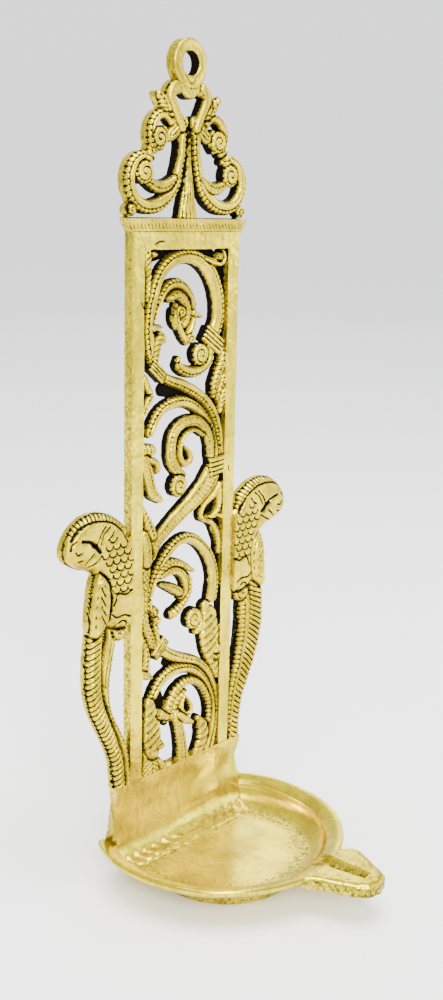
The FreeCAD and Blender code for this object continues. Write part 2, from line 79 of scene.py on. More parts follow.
WEB = 1.3                       # thickness of the places that were never cut through
GRID = 0.25                     # spacing of the relief's grid
EDGE_ROUND = 0.7                # rounding of the castings' front edges
VINE_X = 0.8                    # the vine sits a little to the right of the window's middle
HOLE_GRIME, SIDE_GRIME, BACK_GRIME = 1.0, 0.42, 0.35
FRAME = ("left_rail", "right_rail", "top_bar")


# Lines and grids
def wave(at, pitch):
    """A smooth wave between 0 and 1."""
    return 0.5 + 0.5 * np.cos(2 * math.pi * at / pitch)


def bell(distance, width):
    """1 at no distance, fading to nothing over this width."""
    return np.exp(-(distance / width)**2)


def moved(points, shift=0.0, side=1):
    """The points mirrored by side, and moved to the right."""
    return [(side * x + shift, z) for x, z in points]


def smooth(points, step=1.0):
    """Evenly spaced points on a smooth line through the given ones."""
    given = np.array(points, float)
    if len(given) == 2:
        finer = given
    else:
        ends = np.vstack([2 * given[0] - given[1], given, 2 * given[-1] - given[-2]])
        t = np.linspace(0, 1, 12, endpoint=False)[:, None]
        spans = []
        for a, b, c, d in zip(ends, ends[1:], ends[2:], ends[3:]):
            bend, twist = 2 * a - 5 * b + 4 * c - d, 3 * b - a - 3 * c + d
            spans.append(0.5 * (2 * b + (c - a) * t + bend * t**2 + twist * t**3))
        finer = np.vstack(spans + [given[-1:]])
    gone = np.concatenate([[0], np.cumsum(np.hypot(*np.diff(finer, axis=0).T))])
    even = np.linspace(0, gone[-1], max(2, int(gone[-1] / step) + 1))
    return np.stack([np.interp(even, gone, finer[:, k]) for k in (0, 1)], axis=1), gone[-1]


def arc(x, z, r, start, end):
    """Points on an arc, from the start angle to the end angle in degrees."""
    count = max(4, int(abs(end - start) / 20))
    return [(x + r * math.cos(math.radians(a)), z + r * math.sin(math.radians(a)))
            for a in np.linspace(start, end, count)]


def rounded(depth, reach, low, high):
    """Height of a cushion: low at its edge, and high from this far inside."""
    short = 1 - np.clip(depth / reach, 0, 1)
    return low + (high - low) * np.sqrt(1 - short**2)


class Relief:
    """A flat casting on a grid: depth is how far inside the metal a place is, height how thick the metal is
    there, and owner which piece it belongs to. Strokes are edge thick at their sides and full at reach."""

    def __init__(self, low, high, seed, edge=1.7, reach=1.7):
        self.edge, self.reach = edge, reach
        self.u = np.arange(low[0], high[0] + GRID / 2, GRID)
        self.v = np.arange(low[1], high[1] + GRID / 2, GRID)
        self.U, self.V = np.meshgrid(self.u, self.v, indexing="ij")
        self.depth = np.full(self.U.shape, -9.0)
        self.height = np.zeros(self.U.shape)
        self.owner = np.zeros(self.U.shape, int)
        self.soot = np.zeros(self.U.shape)
        self.names = []
        self.chance = np.random.default_rng(seed)

    def piece(self, name):
        """What is added next belongs to this piece."""
        if name not in self.names:
            self.names.append(name)
        self.current = self.names.index(name)

    def add(self, depth, height, rim=0.6, notch=0.6, soot=0.0):
        """Lays an element over what is there, with a thin groove beside it."""
        beside = np.clip(1 + depth / rim, 0, 1) * (depth <= 0)
        self.height = np.where(depth > 0, height, self.height - notch * beside)
        self.soot = np.where(depth > 0, soot, np.maximum(self.soot, 1.4 * notch * beside))
        self.owner = np.where(depth > 0, self.current, self.owner)
        self.depth = np.maximum(self.depth, depth)

    def measure(self, line, reach):
        """Distance, place along the line and side (+1 left) of every place near a line."""
        far, along, side = np.full(self.U.shape, 99.0), np.zeros(self.U.shape), np.ones(self.U.shape)
        gone = 0.0
        for a, b in zip(line, line[1:]):
            (u0, v0), (u1, v1) = np.minimum(a, b) - reach, np.maximum(a, b) + reach
            spot = (slice(*np.searchsorted(self.u, (u0, u1))), slice(*np.searchsorted(self.v, (v0, v1))))
            length = math.hypot(*(b - a))
            way = (b - a) / length
            du, dv = self.U[spot] - a[0], self.V[spot] - a[1]
            t = np.clip(du * way[0] + dv * way[1], 0, length)
            distance = np.hypot(du - t * way[0], dv - t * way[1])
            near = distance < far[spot]
            far[spot] = np.where(near, distance, far[spot])
            along[spot] = np.where(near, gone + t, along[spot])
            side[spot] = np.where(near, np.sign(way[0] * dv - way[1] * du), side[spot])
            gone += length
        return far, along, side

    def stroke(self, points, widths, look="plain", level=PLATE, dome=0.7):
        """A rounded stem or leaf along a smooth line, carved in one of the LOOKS."""
        line, total = smooth(points)
        widths = np.full(len(points), widths) if np.isscalar(widths) else np.array(widths, float)
        given = np.concatenate([[0], np.cumsum(np.hypot(*np.diff(np.array(points, float), axis=0).T))])
        marks = given * total / given[-1]
        far, along, side = self.measure(line, widths.max() / 2 + 1.6)
        half = np.interp(along, marks, widths) / 2
        share = side * far / half
        carved = sum((carve(share, along, half) for carve in LOOKS[look]), np.zeros(self.U.shape))
        height = rounded(half - far, self.reach, self.edge, level) - dome * share**2 - carved
        self.add(half - far, height, soot=1.3 * carved)

    def web(self, points, widths):
        """A thin black place beside the strokes, under anything that is already there."""
        line, total = smooth(points)
        far, along, _ = self.measure(line, np.max(widths) / 2 + 1)
        marks = np.linspace(0, total, np.size(widths))
        depth = np.interp(along, marks, np.atleast_1d(widths)) / 2 - far
        new = (depth > 0) & (self.depth <= 0)
        self.height = np.where(new, WEB, self.height)
        self.soot = np.where(new, 1.3, self.soot)
        self.owner = np.where(new, self.current, self.owner)
        self.depth = np.maximum(self.depth, depth)

    def band(self, start, end, across):
        """A collar: a raised band with square ends and ridges along it."""
        length = math.dist(start, end)
        way = np.subtract(end, start) / length
        du, dv = self.U - (start[0] + end[0]) / 2, self.V - (start[1] + end[1]) / 2
        share = (way[0] * dv - way[1] * du) / (across / 2)
        depth = np.minimum(across / 2 * (1 - abs(share)), length / 2 - abs(du * way[0] + dv * way[1]))
        carved = sum(0.7 * bell((share - place) * across / 2, 0.4) for place in (-0.5, 0.0, 0.5))
        self.add(depth, rounded(depth, 1.2, self.edge + 1, PLATE + 0.3) - carved, soot=1.3 * carved)

    def curl(self, u, v, r, turn=1, level=PLATE + 0.2):
        """The round end of a scroll, with a spiral groove and ribs across its outer turn."""
        far, angle = np.hypot(self.U - u, self.V - v), np.arctan2(self.V - v, turn * (self.U - u))
        phase = (far / (0.56 * r) - angle / (2 * math.pi)) % 1.0
        carved = 0.65 * bell((phase - 0.5) * 0.56 * r, 0.36)
        count = max(8, round(2 * math.pi * r / 2.0))
        carved += 0.45 * (0.5 + 0.5 * np.cos(count * angle))**2.5 * np.clip((far / r - 0.6) / 0.2, 0, 1)
        self.add(r - far, rounded(r - far, 1.5, self.edge, level) - carved, soot=1.3 * carved)

    def plate(self, low, high):
        """A flat rectangle."""
        depth = np.minimum(np.minimum(self.U - low[0], high[0] - self.U),
                           np.minimum(self.V - low[1], high[1] - self.V))
        self.add(depth, PLATE, notch=0.0)

    def field(self, outline, corners=False):
        """Signed depth inside a closed outline, smooth or with straight sides."""
        closed = list(outline) + [outline[0]]
        line = np.array(closed, float) if corners else smooth(closed, 0.8)[0]
        far, _, _ = self.measure(line, 2.5)
        crossings = np.zeros(self.U.shape, int)
        for (u0, v0), (u1, v1) in zip(line, line[1:]):
            if v0 != v1:
                spans = (self.V >= min(v0, v1)) & (self.V < max(v0, v1))
                crossings += spans & (self.U < u0 + (self.V - v0) * (u1 - u0) / (v1 - v0))
        return np.where(crossings % 2 == 1, 1, -1) * far

    def engrave(self, points, width=0.7, deep=0.65):
        """A groove along a smooth line, dark with old polish."""
        far, _, _ = self.measure(smooth(points, 0.6)[0], 3 * width)
        groove = deep * bell(far, width * 0.6)
        self.height -= groove
        self.soot = np.maximum(self.soot, 1.6 * groove)

    def roughness(self, size, amount):
        """Smooth unevenness with bumps of about this size."""
        lattice = self.chance.normal(size=(int(np.ptp(self.u) / size) + 3, int(np.ptp(self.v) / size) + 3))
        at_u, at_v = (self.u - self.u[0]) / size, (self.v - self.v[0]) / size
        rows = np.stack([np.interp(at_u, range(len(lattice)), column) for column in lattice.T], axis=1)
        return amount * np.stack([np.interp(at_v, range(rows.shape[1]), row) for row in rows])

    def finish(self):
        """Rounds the free edges, roughens the surface, and works out where dirt stays."""
        short = np.clip(1 - self.depth / EDGE_ROUND, 0, 1)
        self.height -= EDGE_ROUND * (1 - np.sqrt(1 - short**2)) * 0.8
        self.height += self.roughness(4.5, 0.13) + self.roughness(1.2, 0.05)
        metal = (self.depth > 0).astype(float)
        mean = blur(self.height * metal, 3) / np.maximum(blur(metal, 3), 0.05)
        low = np.clip((mean - self.height - 0.02) / 0.75, 0, 1)
        self.grime_and_shade = np.clip(low + 0.8 * self.soot, 0, 1)
        air = np.zeros(metal.shape, bool)
        air[[0, -1]] = air[:, [0, -1]] = True
        air &= metal == 0
        grown = None
        while grown is None or (grown != air).any():
            air = air if grown is None else grown
            grown = air.copy()
            grown[1:] |= air[:-1]
            grown[:-1] |= air[1:]
            grown[:, 1:] |= air[:, :-1]
            grown[:, :-1] |= air[:, 1:]
            grown &= metal == 0
        outside = blur(air.astype(float), 2)
        holes = blur(((metal == 0) & ~air).astype(float), 2)
        self.wall = np.where(holes > outside, HOLE_GRIME, SIDE_GRIME)

    def build(self, place, slot):
        """Makes one closed mesh for each piece, meeting its neighbours face to face."""
        nu, nv = self.U.shape
        ids = np.arange(nu * nv).reshape(nu, nv)
        metal = self.depth > 0
        code = sum((metal[du:nu - 1 + du, dv:nv - 1 + dv] << k) for k, (du, dv) in enumerate(CORNERS))
        near = np.stack([self.depth[du:nu - 1 + du, dv:nv - 1 + dv] for du, dv in CORNERS])
        owners = np.stack([self.owner[du:nu - 1 + du, dv:nv - 1 + dv] for du, dv in CORNERS])
        cell_owner = np.take_along_axis(owners, near.argmax(0)[None], 0)[0]
        faces = []
        for shape in range(1, 16):
            i, j = np.nonzero(code == shape)
            ring = []
            for k, (du, dv) in enumerate(CORNERS):
                if shape >> k & 1:
                    ring.append(ids[i + du, j + dv])
                if (shape >> k & 1) != (shape >> (k + 1) % 4 & 1):
                    eu, ev = EDGES[k][0]
                    ring.append(nu * nv * (1 + EDGES[k][1]) + ids[i + eu, j + ev])
            faces.append((np.stack(ring, 1), cell_owner[i, j]))
        flat = [a.ravel() for a in (self.U, self.V, self.height, self.grime_and_shade, self.wall)]
        depth = self.depth.ravel()
        spread = [flat]
        for step in (nv, 1):
            a, b = np.arange(nu * nv), np.minimum(np.arange(nu * nv) + step, nu * nv - 1)
            gap = np.where(depth[a] == depth[b], 1, depth[a] - depth[b])
            t = np.clip(depth[a] / gap, 0, 1)
            lip = np.where(depth[a] > 0, a, b)
            mixed = [f[a] + t * (f[b] - f[a]) for f in flat[:2]]
            spread.append(mixed + [f[lip] for f in flat[2:]])
        u, v, height, grime_and_shade, wall = (np.concatenate([part[k] for part in spread]) for k in range(5))
        pieces = []
        for number, name in enumerate(self.names):
            own = [f[o == number] for f, o in faces]
            own = [f for f in own if len(f)]
            used, index = np.unique(np.concatenate([f.ravel() for f in own]), return_inverse=True)
            count, start, front = len(used), 0, []
            for f in own:
                front.append(index[start:start + f.size].reshape(f.shape))
                start += f.size
            ends = np.concatenate([np.stack([f, np.roll(f, -1, 1)], 2).reshape(-1, 2) for f in front])
            forward = ends[:, 0] * count + ends[:, 1]
            rim = ends[~np.isin(forward, ends[:, 1] * count + ends[:, 0])]
            side = np.stack([rim[:, 1], rim[:, 0], rim[:, 0] + count, rim[:, 1] + count], 1)
            back_rough = 0.08 * np.sin(u[used] * 1.7 + np.sin(v[used] * 0.9) * 2)
            points = np.vstack([place(u[used], v[used], np.maximum(height[used], 0.8)),
                                place(u[used], v[used], 0.08 + back_rough)])
            parts = front + [side] + [f[:, ::-1] + count for f in front]
            dirt_and_shade = [grime_and_shade[used][f] for f in front] + [wall[used][side % count]]
            dirt_and_shade += [np.full(f.shape, BACK_GRIME) for f in front]
            pieces.append(piece_from(name, points, parts, dirt_and_shade, "brass_frame" if name in FRAME else slot))
        return pieces


CORNERS = [(0, 0), (1, 0), (1, 1), (0, 1)]
# Where each edge of a cell starts, and whether it runs along u (0) or v (1).
EDGES = [((0, 0), 0), ((1, 0), 1), ((0, 1), 0), ((0, 0), 1)]


def blur(field, reach):
    """Mean over a square of this many grid steps each way."""
    for axis in (0, 1):
        field = sum(np.roll(field, k, axis) for k in range(-reach, reach + 1)) / (2 * reach + 1)
    return field


def ribs(pitch, slant=0.0, deep=0.55, low=-1.0, high=1.0):
    """Grooves across a stroke, leaning by slant, between two shares of its width."""
    def carve(share, along, half):
        across = wave(along + slant * share * half, pitch)
        return deep * across**2.5 * (share >= low) * (share <= high)
    return carve


def lines(*places, deep=0.6):
    """Grooves along a stroke, at these shares of its half width."""
    def carve(share, along, half):
        return sum(deep * bell((share - place) * half, 0.34) for place in places)
    return carve


def hatch(pitch, deep=0.5):
    """Crossed grooves."""
    def carve(share, along, half):
        return deep * np.maximum(*(wave(along + way * share * half, pitch) for way in (1, -1)))**3
    return carve


def chevrons(pitch, deep=0.5):
    """Grooves that lean away from a central vein."""
    def carve(share, along, half):
        return deep * wave(along - 0.9 * abs(share) * half, pitch)**2.5
    return carve


LOOKS = {
    "plain": [ribs(1.5, 0.25, 0.22)],
    "ribbed": [ribs(1.8)],
    "slanted": [ribs(1.9, 0.7)],
    "left_ribs": [lines(0.3), ribs(1.7, 0.3, low=0.3)],
    "right_ribs": [lines(-0.3), ribs(1.7, 0.3, high=-0.3)],
    "edged": [lines(-0.55, 0.55, deep=0.45), ribs(1.7, 0.3, 0.35, low=-0.5, high=0.5)],
    "collar": [lines(-0.45, 0.1, 0.6)],
    "leaf": [lines(0.0, deep=0.4), chevrons(1.9)],
    "veined": [lines(0.15, deep=0.5), ribs(1.6, 0.4, 0.3, low=0.15), ribs(1.6, -0.4, 0.2, high=0.0)],
    "hatched": [hatch(2.0)],
    "broad_ribs": [ribs(3.2, 0.45, 0.5)],
    "flutes": [lines(-0.75, -0.38, 0.0, 0.38, 0.75, deep=0.5)],
    "tail_short": [lines(-0.2, 0.3, deep=0.5), ribs(1.9, 0.2, 0.55, high=-0.2)],
    "tail_long": [ribs(2.1, -0.5, 0.75)],
}


# Meshes
def show(thing):
    """Puts an object in the scene."""
    bpy.context.scene.collection.objects.link(thing)


def piece_from(name, points, faces, dirt_and_shade, slot):
    """A visual piece from points in metres, arrays of faces and, at each face corner, the patina, stains
    and painted shade that darken it.
    """
    loops = np.concatenate([f.ravel() for f in faces]).astype(np.int32)
    sizes = np.concatenate([np.full(len(f), f.shape[1]) for f in faces]).astype(np.int32)
    mesh = bpy.data.meshes.new(name)
    mesh.vertices.add(len(points))
    mesh.vertices.foreach_set("co", points.astype(np.float32).ravel())
    mesh.loops.add(len(loops))
    mesh.loops.foreach_set("vertex_index", loops)
    mesh.polygons.add(len(sizes))
    mesh.polygons.foreach_set("loop_start", np.concatenate([[0], np.cumsum(sizes)[:-1]]).astype(np.int32))
    mesh.polygons.foreach_set("use_smooth", np.ones(len(sizes), bool))
    mesh.update(calc_edges=True)
    # per face corner: patina, stains, and painted shade on the apron's top and under the bowl
    grime_and_shade = mesh.attributes.new("grime_and_shade", "FLOAT", "CORNER")
    grime_and_shade.data.foreach_set("value", np.concatenate([d.ravel() for d in dirt_and_shade]).astype(np.float32))
    mesh.set_sharp_from_angle(angle=math.radians(50))
    piece = bpy.data.objects.new(name + "_cast", mesh)
    show(piece)
    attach(piece, "root")
    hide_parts(name)
    mesh.materials.append(MATERIALS[slot])
    return piece


def mesh_piece(name, bm, slot, dirt_and_shade):
    """A visual piece from a bmesh in millimetres; the last argument gives the patina, stains and painted
    shade at a point.
    """
    bmesh.ops.recalc_face_normals(bm, faces=bm.faces)
    points = np.array([v.co for v in bm.verts]) * MM
    bm.verts.index_update()
    groups = {}
    for face in bm.faces:
        groups.setdefault(len(face.verts), []).append([v.index for v in face.verts])
    faces = [np.array(group) for group in groups.values()]
    at = np.array([dirt_and_shade(v.co) for v in bm.verts])
    piece_from(name, points, faces, [at[f] for f in faces], slot)


def lathe(profile, axis_y=BOWL_Y, turns=260):
    """A closed bmesh turned about an upright axis from (radius, z) points; a radius of 0 is on the axis."""
    bm = bmesh.new()
    rings = []
    for r, z in profile:
        spots = 1 if r == 0 else turns
        turn = [2 * math.pi * k / turns for k in range(spots)]
        rings.append([bm.verts.new((r * math.sin(a), axis_y - r * math.cos(a), z)) for a in turn])
    for a, b in zip(rings, rings[1:] + rings[:1]):
        for k in range(turns):
            corners = [a[k % len(a)], a[(k + 1) % len(a)], b[(k + 1) % len(b)], b[k % len(b)]]
            corners = [v for n, v in enumerate(corners) if v not in corners[:n]]
            if len(corners) > 2:
                bm.faces.new(corners)
    return bm


def cut_back(bm, y):
    """Cuts a closed bmesh off at a plane across Y and closes it."""
    cut = bmesh.ops.bisect_plane(bm, geom=bm.verts[:] + bm.edges[:] + bm.faces[:], plane_co=(0, y, 0),
                                 plane_no=(0, 1, 0), clear_outer=True)
    bmesh.ops.holes_fill(bm, edges=[e for e in bm.edges if e.is_boundary], sides=0)


def wobble(bm, amount, size, free):
    """Hand-made unevenness: moves the points that free() allows by smooth noise."""
    for v in bm.verts:
        if free(v.co):
            v.co += noise.noise_vector(v.co / size) * amount


def finely(points, step):
    """Straight runs between points, divided into short steps."""
    out = []
    for a, b in zip(points, points[1:] + points[:1]):
        count = max(1, int(math.dist(a, b) / step))
        out += [tuple(np.add(a, np.subtract(b, a) * k / count)) for k in range(count)]
    return out


# Materials
def brass(name, bright, warm, dark, polish, stain, pits=0.66):
    """Aged brass: mottled, scratched and pitted, dull and dark where the attribute is high: patina in the
    castings' hollows, stains, and painted shade on the apron's top and under the bowl.
    """
    material = bpy.data.materials.new(name)
    material.use_nodes = True
    tree = material.node_tree
    nodes, links = tree.nodes, tree.links
    shader = nodes["Principled BSDF"]
    where = nodes.new("ShaderNodeTexCoord").outputs["Object"]
    grime_and_shade = nodes.new("ShaderNodeAttribute")
    grime_and_shade.attribute_name = "grime_and_shade"

    def feed(socket, value):
        if isinstance(value, (float, tuple)):
            socket.default_value = (*value, 1) if isinstance(value, tuple) else value
        else:
            links.new(value, socket)

    def noise_at(scale, detail, rough=0.6, stretch=(1, 1, 1)):
        mapping = nodes.new("ShaderNodeMapping")
        mapping.inputs["Scale"].default_value = stretch
        texture = nodes.new("ShaderNodeTexNoise")
        texture.inputs["Scale"].default_value = scale
        texture.inputs["Detail"].default_value = detail
        texture.inputs["Roughness"].default_value = rough
        links.new(where, mapping.inputs["Vector"])
        links.new(mapping.outputs["Vector"], texture.inputs["Vector"])
        return texture.outputs["Fac"]

    def ramp(value, low, high, to_low=0.0, to_high=1.0):
        node = nodes.new("ShaderNodeMapRange")
        node.interpolation_type = "SMOOTHSTEP"
        limits = {"From Min": low, "From Max": high, "To Min": to_low, "To Max": to_high}
        for socket, number in limits.items():
            node.inputs[socket].default_value = number
        links.new(value, node.inputs["Value"])
        return node.outputs["Result"]

    def calc(operation, a, b):
        node = nodes.new("ShaderNodeMath")
        node.operation = operation
        node.use_clamp = operation == "ADD"
        feed(node.inputs[0], a)
        feed(node.inputs[1], b)
        return node.outputs[0]

    def blend(share, a, b):
        node = nodes.new("ShaderNodeMix")
        node.data_type = "RGBA"
        feed(node.inputs[0], share)
        feed(node.inputs[6], a)
        feed(node.inputs[7], b)
        return node.outputs[2]

    mottle = ramp(noise_at(55, 5), 0.35, 0.7)
    smudges = ramp(noise_at(230, 4, 0.65), 0.52, 0.72)
    streaks = ramp(noise_at(420, 3, 0.7, (1, 1, 0.12)), 0.45, 0.75)
    specks = ramp(noise_at(1300, 2, 0.5), pits, pits + 0.09)
    edge_noise = ramp(noise_at(700, 4, 0.7), 0.3, 0.75, -0.25, 0.3)
    colour = blend(mottle, bright, warm)
    marks = calc("MULTIPLY", calc("MAXIMUM", streaks, smudges), stain)
    colour = blend(marks, colour, tuple(0.45 * c for c in warm))
    # darkens with the attribute: patina in hollows, stains, and painted shade on the apron's top and under
    # the bowl
    deep = ramp(calc("ADD", grime_and_shade.outputs["Fac"], edge_noise), 0.16, 0.8)
    deep = calc("MAXIMUM", deep, calc("MULTIPLY", specks, 0.55))
    links.new(blend(deep, colour, dark), shader.inputs["Base Color"])
    links.new(ramp(deep, 0.2, 1.0, 1.0, 0.0), shader.inputs["Metallic"])
    links.new(ramp(deep, 0.3, 1.0, 0.2, 0.02), shader.inputs["Specular IOR Level"])
    rough = calc("ADD", ramp(mottle, 0, 1, polish, polish + 0.12), calc("MULTIPLY", deep, 0.35))
    links.new(rough, shader.inputs["Roughness"])
    bump = nodes.new("ShaderNodeBump")
    bump.inputs["Strength"].default_value = 0.35
    bump.inputs["Distance"].default_value = 0.00025
    height = calc("ADD", calc("MULTIPLY", noise_at(900, 6, 0.7), 0.7), calc("MULTIPLY", streaks, 0.3))
    links.new(height, bump.inputs["Height"])
    links.new(bump.outputs["Normal"], shader.inputs["Normal"])
    return material


MATERIALS = {
    "brass_frame": brass(
        "frame_brass", (0.84, 0.68, 0.012), (0.54, 0.43, 0.003), (0.006, 0.004, 0.003), 0.2, 0.5),
    "brass_relief": brass(
        "relief_brass", (0.80, 0.63, 0.012), (0.46, 0.35, 0.004), (0.003, 0.0022, 0.0018), 0.26, 0.55, 0.6),
    "brass_bowl": brass(
        "bowl_brass", (0.84, 0.68, 0.006), (0.54, 0.42, 0.002), (0.02, 0.012, 0.005), 0.1, 0.35),
}


# Strokes of the vine: points, widths and, where it is not plain, the look
TOP_SCROLL = [
    ([(-16, 190.5), (-18.4, 196), (-19, 203), (-18, 211), (-16, 217), (-12.6, 222.4), (-8, 225.8),
     (-3.4, 227.3), (2, 227.4), (7, 225.8), (11.4, 222.4), (14.6, 217.6), (16.5, 212), (16.8, 206),
     (15.2, 200.6)], [4.6, 5, 5, 5, 4.8, 4.8, 5, 5.2, 5.6, 6, 6.4, 6.6, 6.6, 6.4, 6.6], "left_ribs"),
    ([(12, 195), (12, 190.6), (9, 187.6), (4.3, 186.3), (-0.7, 187.2), (-3.8, 189.2), (-3.6, 191.6)],
     [5, 4.8, 4.4, 4.4, 4.6, 4, 2.2], "left_ribs"),
    ([(-17.2, 205), (-15, 210.5), (-12, 215), (-8.3, 217.8), (-3.6, 218), (0, 215.6), (2.6, 211.5),
     (3.3, 207), (2.6, 203), (1.2, 199.6)], [1.8, 2.4, 3, 3.6, 4, 4.2, 4, 3.8, 3.8, 4.4], "left_ribs"),
    ([(-8.6, 213), (-4.6, 214.2), (-1.4, 212.4), (0.2, 208.6), (-0.8, 204.8), (-3.8, 203.2), (-6.4, 205.2),
     (-6.6, 208.6)], [3, 4, 4.4, 4.4, 4, 3.6, 3.2, 2.8], "edged"),
    ([(-5.6, 211), (-4.8, 205.6), (-3, 201.4), (-1, 198.8), (0.6, 197.6)], [1.6, 2, 2.6, 3, 3.4]),
    ([(3.6, 207.6), (5.6, 206.8), (7.6, 206.1)], [3.2, 2.4, 1.4]),
    ([(-17, 203), (-13.2, 203.4)], [3, 1.8]),
    ([(-16, 192), (-15, 197), (-12.8, 200.2), (-11.6, 198.8)], [4, 4.6, 3.8, 2.8], "slanted"),
    ([(9, 226.8), (13.6, 225.4), (17.2, 224.9), (18.9, 226.6), (18.1, 228.8)], [2.6, 3, 3.2, 3, 2.6],
     "left_ribs"),
    ([(-20.6, 227.5), (-16.6, 228.4)], [4, 2.6]),
]
UPPER_SCROLL = [
    ([(-12.7, 186.4), (-7.7, 184.2), (-1.7, 182.2), (4.4, 179.4), (10.4, 175.7), (15.3, 170.2), (18.3, 163),
     (19.4, 155)], [3.8, 3.8, 4.2, 4.4, 4.2, 3.8, 3.2, 2.8], "right_ribs"),
    ([(-18.4, 166.6), (-15.6, 171), (-11.5, 174.4), (-5.5, 176), (0.5, 175.5), (6.5, 172.6), (12, 167.4),
     (15.6, 161), (16.9, 154)], [4, 4.2, 4.2, 4.4, 4.4, 4, 3.6, 3, 2.8], "left_ribs"),
    ([(13.9, 153.6), (13.4, 160.2), (10.7, 165), (6.7, 168), (2.2, 168.6), (-2.8, 167.4), (-6.3, 164),
     (-7.3, 159), (-6.5, 154.6), (-3.8, 151.2), (-1.2, 148.6)],
     [3.4, 4.4, 4.8, 4.6, 4.6, 4.6, 4.8, 5, 5, 4.8, 4.4], "edged"),
    ([(10, 162.4), (5.2, 165), (0.7, 164.1), (-2.3, 161.3), (-3, 157.4), (-1.5, 154), (1.3, 152.9),
     (3.1, 154.6), (2.2, 157.2), (0, 159)], [1.8, 1.9, 2.2, 2.4, 2.6, 3, 3.2, 3, 2.4, 1.5]),
    ([(14.8, 147), (10.6, 142.2), (5, 138.4), (-2, 134.3), (-8.8, 130), (-14.2, 125.6), (-17.4, 121)],
     [9, 8.4, 7.6, 6.6, 5.8, 5.4, 5.2], "edged"),
]
LOWER_SCROLL = [
    ([(-17, 122.4), (-19.4, 116), (-20.7, 109), (-20.8, 101.6), (-19.6, 95), (-17, 89.5), (-14, 85.6)],
     [5, 4.6, 4, 3.8, 4.2, 4.8, 5.2], "hatched"),
    ([(-18, 101), (-17.6, 106.5), (-15.4, 112), (-11.6, 117.6), (-7.6, 121.4), (-2.6, 124), (2.6, 124.3),
     (8, 121.8), (12.8, 117.2), (16, 111.4), (17.2, 105), (16.2, 98.6)],
     [2.8, 3.2, 3.4, 3.8, 4.2, 4.2, 4.4, 4.8, 5.2, 5.4, 5.6, 6], "left_ribs"),
    ([(12.6, 95.4), (12.2, 90.8), (9.6, 87.8), (7.6, 86.4)], [5, 5.2, 4.6, 3]),
    ([(-17.6, 105.5), (-15.5, 110), (-12, 114.4), (-7.6, 116.4), (-2.6, 115.4), (2.4, 112.8), (6, 111)],
     [1.8, 2.4, 3.2, 3.8, 3.8, 3.2, 1.4], "slanted"),
    ([(-11, 112), (-6.6, 113.4), (-2, 112), (1, 108.6), (1.6, 104.4), (-0.8, 102)],
     [2.4, 3.4, 3.8, 4, 3.8, 2.6], "veined"),
    ([(3.4, 109.6), (3.6, 103.4), (0.8, 100), (-3, 97.4), (-5.6, 96.2)], [2.2, 2.6, 3.2, 4, 4.4], "ribbed"),
    ([(-11.4, 109), (-8.4, 107.8), (-5, 106.2), (-2, 104.4)], [2, 3.4, 4.2, 4.4], "veined"),
    ([(15, 91), (15.4, 84), (16, 78), (17.8, 71.6), (19.6, 65)], [8.6, 11, 9.6, 6, 2.6], "broad_ribs"),
    ([(-14.4, 98.6), (-14.2, 92.8), (-13.6, 87.4)], [3, 3.2, 2.6], "slanted"),
    ([(-13.6, 94.6), (-12.2, 96)], [2.2, 1.4]),
]
BOTTOM_SCROLL = [
    ([(-11, 84), (-8.6, 82), (-4.2, 79.4), (1.8, 76.8), (7.8, 74.2), (12.5, 70.6), (16.4, 65.4),
     (18.9, 58.4), (19.9, 51), (19.8, 44.4), (18.4, 38.6), (16.6, 33)],
     [4.8, 4.6, 4.4, 4, 4, 3.8, 3.4, 3, 2.8, 2.8, 3, 3.6], "veined"),
    ([(-18.9, 56), (-17.4, 63), (-14.8, 68), (-11, 71.6), (-6, 73.4), (0, 73.3), (6, 71.4), (11, 67.4),
     (15, 61.8), (17.3, 55.8), (18, 49.6), (17.4, 43.4), (15.6, 38.2), (14, 33)],
     [3.4, 3.8, 4.4, 4.8, 4.8, 4.4, 4, 3.8, 3.6, 3.4, 3.2, 3, 3, 3.8], "left_ribs"),
    ([(-8.4, 55), (-6.6, 60.8), (-3.4, 65), (1.2, 67.1), (6.2, 66.8), (10.6, 63.8), (13.8, 59.2),
     (15.6, 53.8), (15.4, 47.4)], [3.8, 4.2, 4.2, 4, 3.6, 3.4, 3.2, 3, 2.6], "ribbed"),
    ([(-5, 54.6), (-4, 59.4), (-1.2, 62.4), (2.4, 63.8)], [3.4, 3.4, 3, 1.8], "ribbed"),
    ([(1.2, 62.2), (-0.4, 58.4), (1, 54.8), (4, 53.4), (5.5, 55.8), (4.2, 58.8), (2.6, 60.8)],
     [2, 2.8, 3, 3, 2.6, 2, 1.4]),
    ([(-2.6, 55), (-0.6, 48), (0.6, 42), (1.2, 33)], [5.2, 5.2, 5.6, 7], "veined"),
    ([(-1.2, 54.6), (2.8, 51.6), (5.8, 49.8)], [3.6, 4, 2.6]),
    ([(9.8, 50), (11.8, 46.6), (12.6, 42), (10.8, 38), (8.8, 33)], [3, 5.8, 6.8, 5.8, 6.4], "broad_ribs"),
    ([(-16.6, 42), (-16.4, 37.6), (-16, 33)], [9, 9.6, 10], "leaf"),
    ([(-17.4, 64), (-16.2, 56.6), (-15.7, 50), (-15.2, 45)], [5, 9, 10, 8.6], "broad_ribs"),
    ([(-12.4, 58.4), (-8, 56)], [4.4, 3.4], "ribbed"),
    ([(-11.8, 39), (-8.6, 34.6)], [3, 4.4]),
]
